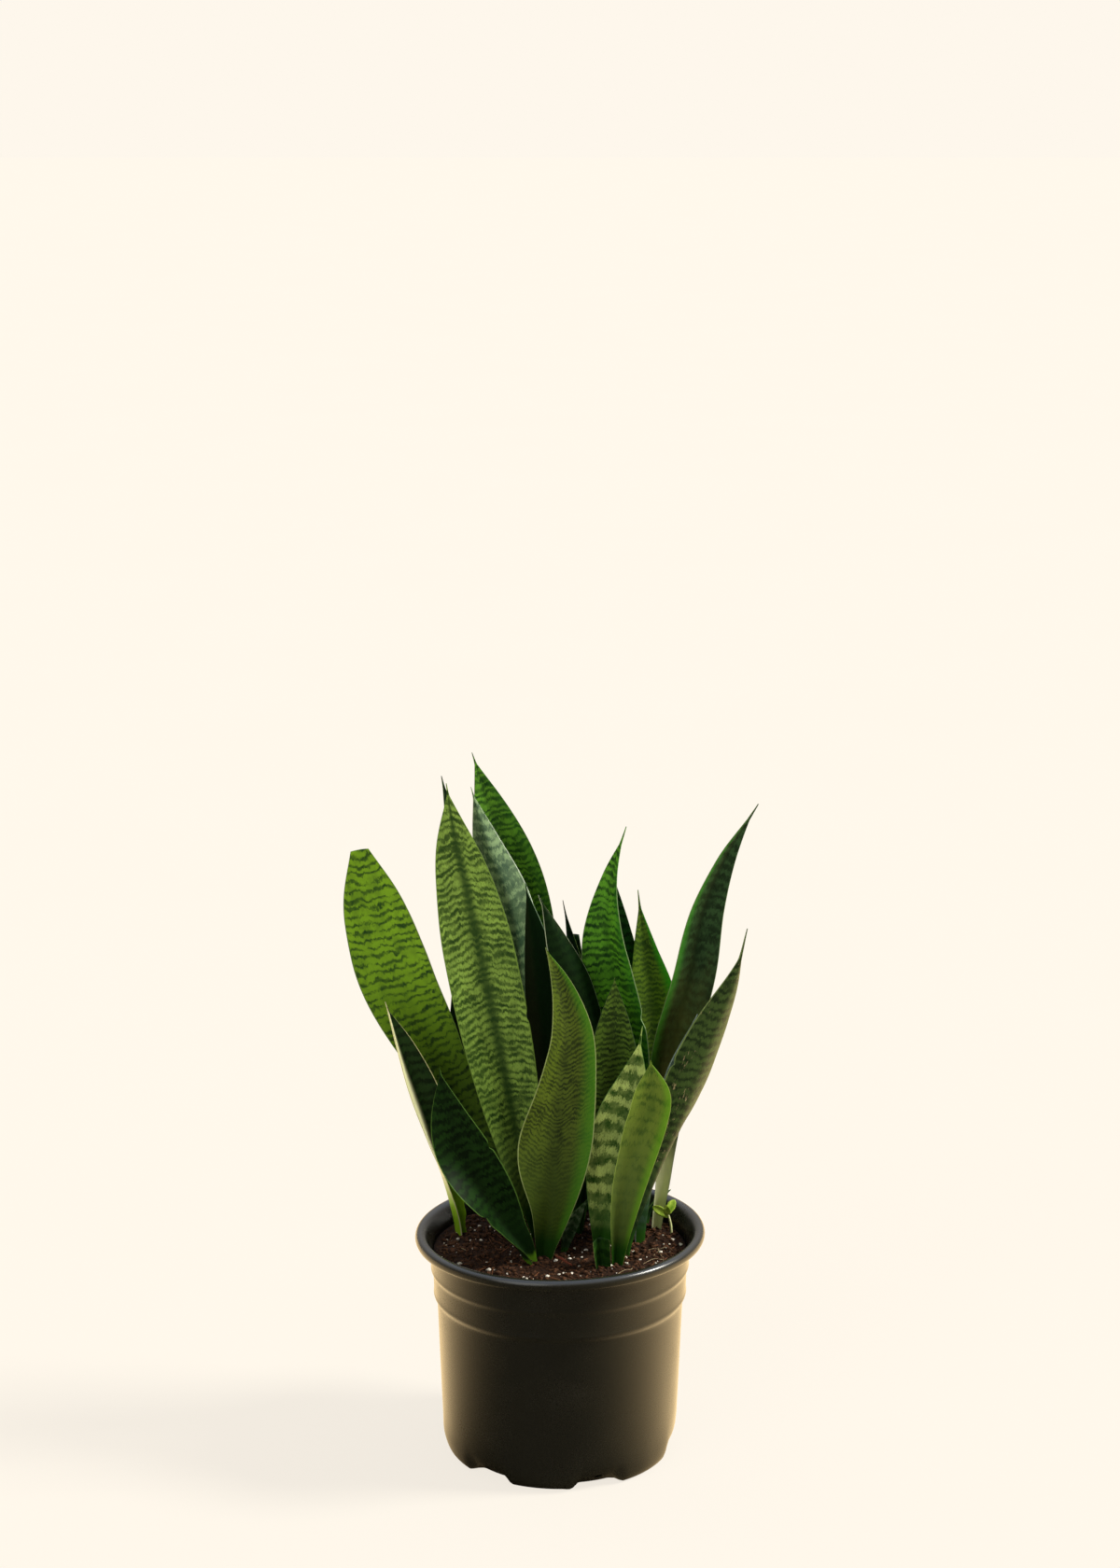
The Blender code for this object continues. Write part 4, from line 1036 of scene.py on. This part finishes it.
# %% Scatter grains
def grains(name, count, sizes, flatness, material, seed, rounds=2, sunk=0.25, spread=86.5):
    """Many small lumps lying on the mix, as one mesh."""
    chance = random.Random(seed)
    template = bmesh.new()
    bmesh.ops.create_icosphere(template, subdivisions=rounds, radius=1)
    spots = [vertex.co.copy() for vertex in template.verts]
    corners = [[vertex.index for vertex in face.verts] for face in template.faces]
    template.free()
    points, faces = [], []
    for number in range(count):
        radius = math.sqrt(chance.random()) * spread * MM
        angle = chance.uniform(0, 2 * math.pi)
        x, y = radius * math.cos(angle), radius * math.sin(angle)
        size = (sizes[0] + (sizes[1] - sizes[0]) * chance.random() ** 2.4) * MM / 2
        stretch = Vector((chance.uniform(0.7, 1.3), chance.uniform(0.7, 1.3),
                          chance.uniform(0.6, 1.0) * flatness))
        turn = chance.uniform(0, math.pi)
        cos, sin = math.cos(turn), math.sin(turn)
        ground = MIX_LEVEL + mix_height(x, y) + crumble(x, y) * 0.8
        start = len(points)
        for spot in spots:
            lump = 1 + 0.55 * noise.noise(spot * 1.3 + Vector((number * 3.1, 0, 0)))
            a, b, c = spot.x * stretch.x * lump, spot.y * stretch.y * lump, spot.z * stretch.z * lump
            points.append((x + size * (a * cos - b * sin), y + size * (a * sin + b * cos),
                           ground + size * (c + stretch.z * (1 - 2 * sunk))))
        faces += [[start + corner for corner in face] for face in corners]
    return mesh_piece(name, points, faces, material)


keep(grains("peat_crumbs", 2600, (1.0, 4.6), 0.8, CRUMB, 11, 1), "mix_brown")
keep(grains("perlite_grains", 230, (1.0, 3.4), 0.85, PERLITE, 23, 2, 0.2), "mix_brown")
print("scattered crumbs and perlite")

# %% [markdown]
# ## Slivers, twig and roots
# These are thin rods, so they are curves with a bevel, and their ends are closed.

# %% Rods
def rod(name, lines, material):
    """Thin rods, one spline each; every point is a place and a radius in metres."""
    curve = bpy.data.curves.new(name, "CURVE")
    curve.dimensions = "3D"
    curve.bevel_depth = 1.0
    curve.bevel_resolution = 2
    curve.use_fill_caps = True
    curve.resolution_u = 5
    curve.materials.append(material)
    for line in lines:
        spline = curve.splines.new("BEZIER")
        spline.bezier_points.add(len(line) - 1)
        for handle, (place, radius) in zip(spline.bezier_points, line):
            handle.co = place
            handle.radius = radius
            handle.handle_left_type = handle.handle_right_type = "AUTO"
    obj = bpy.data.objects.new(name, curve)
    bpy.context.scene.collection.objects.link(obj)
    return obj


def on_mix(x, y, above):
    """A point above the surface of the mix; x and y in millimetres, above in metres."""
    x, y = x * MM, y * MM
    return Vector((x, y, MIX_LEVEL + mix_height(x, y) + crumble(x, y) + above))


chance = random.Random(5)
slivers = []
for _ in range(150):
    radius, angle = math.sqrt(chance.random()) * 82, chance.uniform(0, 2 * math.pi)
    x, y, turn = radius * math.cos(angle), radius * math.sin(angle), chance.uniform(0, math.pi)
    reach = chance.uniform(1.5, 5)
    ends = [(x + side * reach * math.cos(turn), y + side * reach * math.sin(turn))
            for side in (-1, 0, 1)]
    thick = chance.uniform(0.25, 0.6) * MM
    slivers.append([(on_mix(a, b, thick + chance.uniform(0, 0.8) * MM), thick * k)
                    for (a, b), k in zip(ends, (0.5, 1, 0.4))])
keep(rod("bark_slivers", slivers, BARK), "mix_brown")

TWIG = ((-3, -27, 153.0), (1, -33, 153.6), (4, -38, 153.2), (8, -44, 153.4))
twig = [(Vector(place) * MM, radius * MM) for place, radius in zip(TWIG, (0.6, 0.9, 0.85, 0.55))]
keep(rod("fine_twig", [twig], TWIG_BARK), "twig_brown", "twig")

roots = []
for start, turn in (((58, -34), 0.5), ((66, -20), 0.9), ((50, -48), 0.2), ((72, -30), 1.4),
                    ((40, -55), 0.6), ((-66, -14), 2.2), ((62, -8), 1.1)):
    x, y = start
    line = []
    for step in range(5):
        line.append((on_mix(x, y, (1.2 if step in (1, 2, 3) else 0.2) * MM), 0.14 * MM))
        turn += chance.uniform(-0.7, 0.7)
        x, y = x + 4.5 * math.cos(turn), y + 4.5 * math.sin(turn)
    roots.append(line)
keep(rod("fine_roots", roots, ROOT), "mix_brown")
print(len(slivers), "slivers,", len(roots), "roots and a twig")

# %% [markdown]
# ## The seedling
# A weed has sprouted at the right of the pot: a thin pale stem with three small,
# yellow-green leaves. Each leaf is a pointed oval, folded a little along its middle.

# %% Seedling
STEM = ((79, 20, 138), (79.5, 20, 150), (79, 21, 158), (77, 23, 166))
SPROUTS = (((77.5, 22.5, 163), (71, 24, 168), (66, 25, 170), 6),
           ((77, 23, 165), (79, 26, 171), (82, 28, 174), 6),
           ((77, 23, 164), (76, 19, 170), (75, 17, 174), 5))


def sprout_leaf(base, middle, tip, width, points, faces):
    """Adds one small oval leaf, a thin closed blade, to a list of points and faces."""
    line = [Vector(spot) * MM for spot in (base, middle, tip)]
    start = len(points)
    for row in range(13):
        t = row / 12
        centre = line[0] * (1 - t) ** 2 + line[1] * 2 * t * (1 - t) + line[2] * t * t
        along = (line[2] - line[0]).normalized()
        side = along.cross(Vector((0, -1, 0.3))).normalized()
        up = side.cross(along).normalized()
        half = width * MM / 2 * (math.sin(math.pi * min(t * 0.97 + 0.03, 1)) ** 0.7 + 0.05)
        for level in (1, -1):
            for column in range(7):
                u = column / 3 - 1
                points.append(centre + side * (half * u) + up * (half * 0.35 * abs(u))
                              + up * level * 0.3 * MM * (1.2 - abs(u)))
    loop = list(range(7)) + list(range(13, 6, -1))
    for row in range(12):
        low, high = start + row * 14, start + (row + 1) * 14
        for here, after in zip(loop, loop[1:] + loop[:1]):
            faces.append((low + here, low + after, high + after, high + here))


sprout_points, sprout_faces = [], []
for base, middle, tip, width in SPROUTS:
    sprout_leaf(base, middle, tip, width, sprout_points, sprout_faces)
stem = [(Vector(place) * MM, radius * MM) for place, radius in zip(STEM, (0.9, 0.9, 0.8, 0.6))]
keep(rod("seedling_stem", [stem], crumbly("seedling_stem", paint(196, 206, 130),
                                          paint(236, 236, 190), 300.0, 0.4, 0.1)),
     "seedling_green", "weed_seedling")
keep(mesh_piece("seedling_leaves", sprout_points, sprout_faces, SEEDLING), "seedling_green")

# %% [markdown]
# ## The rhizomes
# They lie under the mix, out of sight, so the rough parts stay as they are and only
# take a finish: a tan, slightly fleshy skin.

# %% Rhizome finish
buried = [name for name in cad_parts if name.startswith("rhizome")]
for name in buried:
    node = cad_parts[name]
    node.data.materials.clear()
    node.data.materials.append(RHIZOME)
print("buried rhizomes:", len(buried))

# %% [markdown]
# ## Floor and light
# The plant stands on a plain cream sweep. The main light comes from the right and
# a little behind, wide and soft, so edges on the right glow and a faint shadow falls
# to the left. Pale surroundings on both sides give the pot its bright flanks, and
# the darker room in front leaves its middle nearly black.

# %% Stage
CREAM_FLOOR = paint(254, 247, 236)


def floor_material():
    """A cream sweep that stays even in view, and still takes a faint, soft shadow."""
    material, tree, shader = new_material("cream_sweep")
    place = add(tree, "ShaderNodeTexCoord").outputs["Object"]
    cloud = grain(tree, place, 3.0, 2.0)
    tone = blend(tree, cloud, paint(250, 243, 232), paint(255, 249, 239))
    path = add(tree, "ShaderNodeLightPath").outputs
    seen, mirrored = path["Is Camera Ray"], path["Is Glossy Ray"]
    held_back = calc(tree, "ADD", calc(tree, "MULTIPLY", seen, 0.87), mirrored, True)
    tree.links.new(blend(tree, held_back, tone, (0, 0, 0, 1)), shader.inputs["Base Color"])
    shader.inputs["Roughness"].default_value = 1.0
    shader.inputs["Specular IOR Level"].default_value = 0.0
    # What a shiny wall mirrors: a dark floor in front, a bright one beside and behind
    away = add(tree, "ShaderNodeVectorMath", {0: place}, operation="NORMALIZE").outputs[0]
    bearing = add(tree, "ShaderNodeSeparateXYZ", {0: away}).outputs
    turned = calc(tree, "ADD", bearing[1], calc(tree, "MULTIPLY", bearing[0], 0.22))
    bright = calc(tree, "MULTIPLY", remap(tree, turned, -0.95, 0.5), 3.1)
    glow = calc(tree, "ADD", calc(tree, "MULTIPLY", seen, 0.835),
                calc(tree, "MULTIPLY", mirrored, calc(tree, "ADD", bright, 0.03)))
    tree.links.new(glow, shader.inputs["Emission Strength"])
    tree.links.new(blend(tree, mirrored, CREAM_FLOOR, paint(226, 196, 146)),
                   shader.inputs["Emission Color"])
    return material


bpy.ops.mesh.primitive_plane_add(size=60, location=(0, 0, -0.0002))
floor = bpy.context.object
floor.name = "floor"
floor.data.materials.append(floor_material())
floor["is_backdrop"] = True


def surroundings():
    """A pale room with a dark front."""
    world = bpy.data.worlds.new("studio")
    world.use_nodes = True
    tree = world.node_tree
    way = add(tree, "ShaderNodeTexCoord").outputs["Generated"]
    parts = add(tree, "ShaderNodeSeparateXYZ", {0: way}).outputs
    beside = remap(tree, parts[0], 0.3, 0.95)
    behind = remap(tree, parts[1], -0.2, 0.6)
    above = calc(tree, "MULTIPLY", remap(tree, parts[2], 0.2, 0.9), 0.6)
    light = calc(tree, "ADD", calc(tree, "MAXIMUM", beside, behind), above, True)
    strength = calc(tree, "ADD", calc(tree, "MULTIPLY", light, 0.5), 0.04)
    path = add(tree, "ShaderNodeLightPath").outputs
    overhead = calc(tree, "MULTIPLY", calc(tree, "MULTIPLY", above, path["Is Glossy Ray"]), 3.0)
    strength = calc(tree, "ADD", strength, overhead)
    strength = calc(tree, "MAXIMUM", strength, path["Is Camera Ray"])
    cool = blend(tree, calc(tree, "MULTIPLY", path["Is Glossy Ray"], above), CREAM_FLOOR,
                 paint(150, 190, 240))
    background = tree.nodes["Background"]
    tree.links.new(cool, background.inputs["Color"])
    tree.links.new(strength, background.inputs["Strength"])
    bpy.context.scene.world = world


surroundings()


def lamp(name, kind, energy, toward, colour=(1, 1, 1), **settings):
    """A light that shines along a direction."""
    data = bpy.data.lights.new(name, kind)
    data.energy = energy
    data.color = colour
    for setting, value in settings.items():
        setattr(data, setting, value)
    obj = bpy.data.objects.new(name, data)
    bpy.context.scene.collection.objects.link(obj)
    obj.rotation_euler = Vector(toward).to_track_quat("-Z", "Y").to_euler()
    return obj


lamp("key_right", "SUN", 4.4, (-0.84, 0.02, -0.72), (1.0, 0.96, 0.86), angle=math.radians(16))
lamp("fill_front", "SUN", 0.7, (0.5, 0.8, -0.5), (0.98, 1.0, 0.96), angle=math.radians(40),
     specular_factor=0.0)

# %% [markdown]
# ## Camera
# A long lens from two metres in front and a little above gives a calm, natural
# outline. The picture keeps a lot of empty space above the leaves.

# %% Camera
camera_data = bpy.data.cameras.new("camera")
camera_data.lens = 71.5
camera_data.sensor_width = 36
camera_data.dof.use_dof = False
camera = bpy.data.objects.new("camera", camera_data)
camera.location = (0, -2.071, 0.9673)
camera.rotation_euler = (math.radians(90 - 13.1), 0, 0)
bpy.context.scene.collection.objects.link(camera)
bpy.context.scene.camera = camera
bpy.context.scene.view_settings.view_transform = "Standard"

# %% [markdown]
# ## Compare with the frame and finish
# The fine plant must fill the same box as the frame. The frame's box was printed at
# the start; here the difference at each corner of the two boxes is printed in millimetres.

# %% Finish
visual_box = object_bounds()
for corner, other in zip(cad_box, visual_box):
    print("difference in mm", [round((b - a) / MM, 2) for a, b in zip(corner, other)])
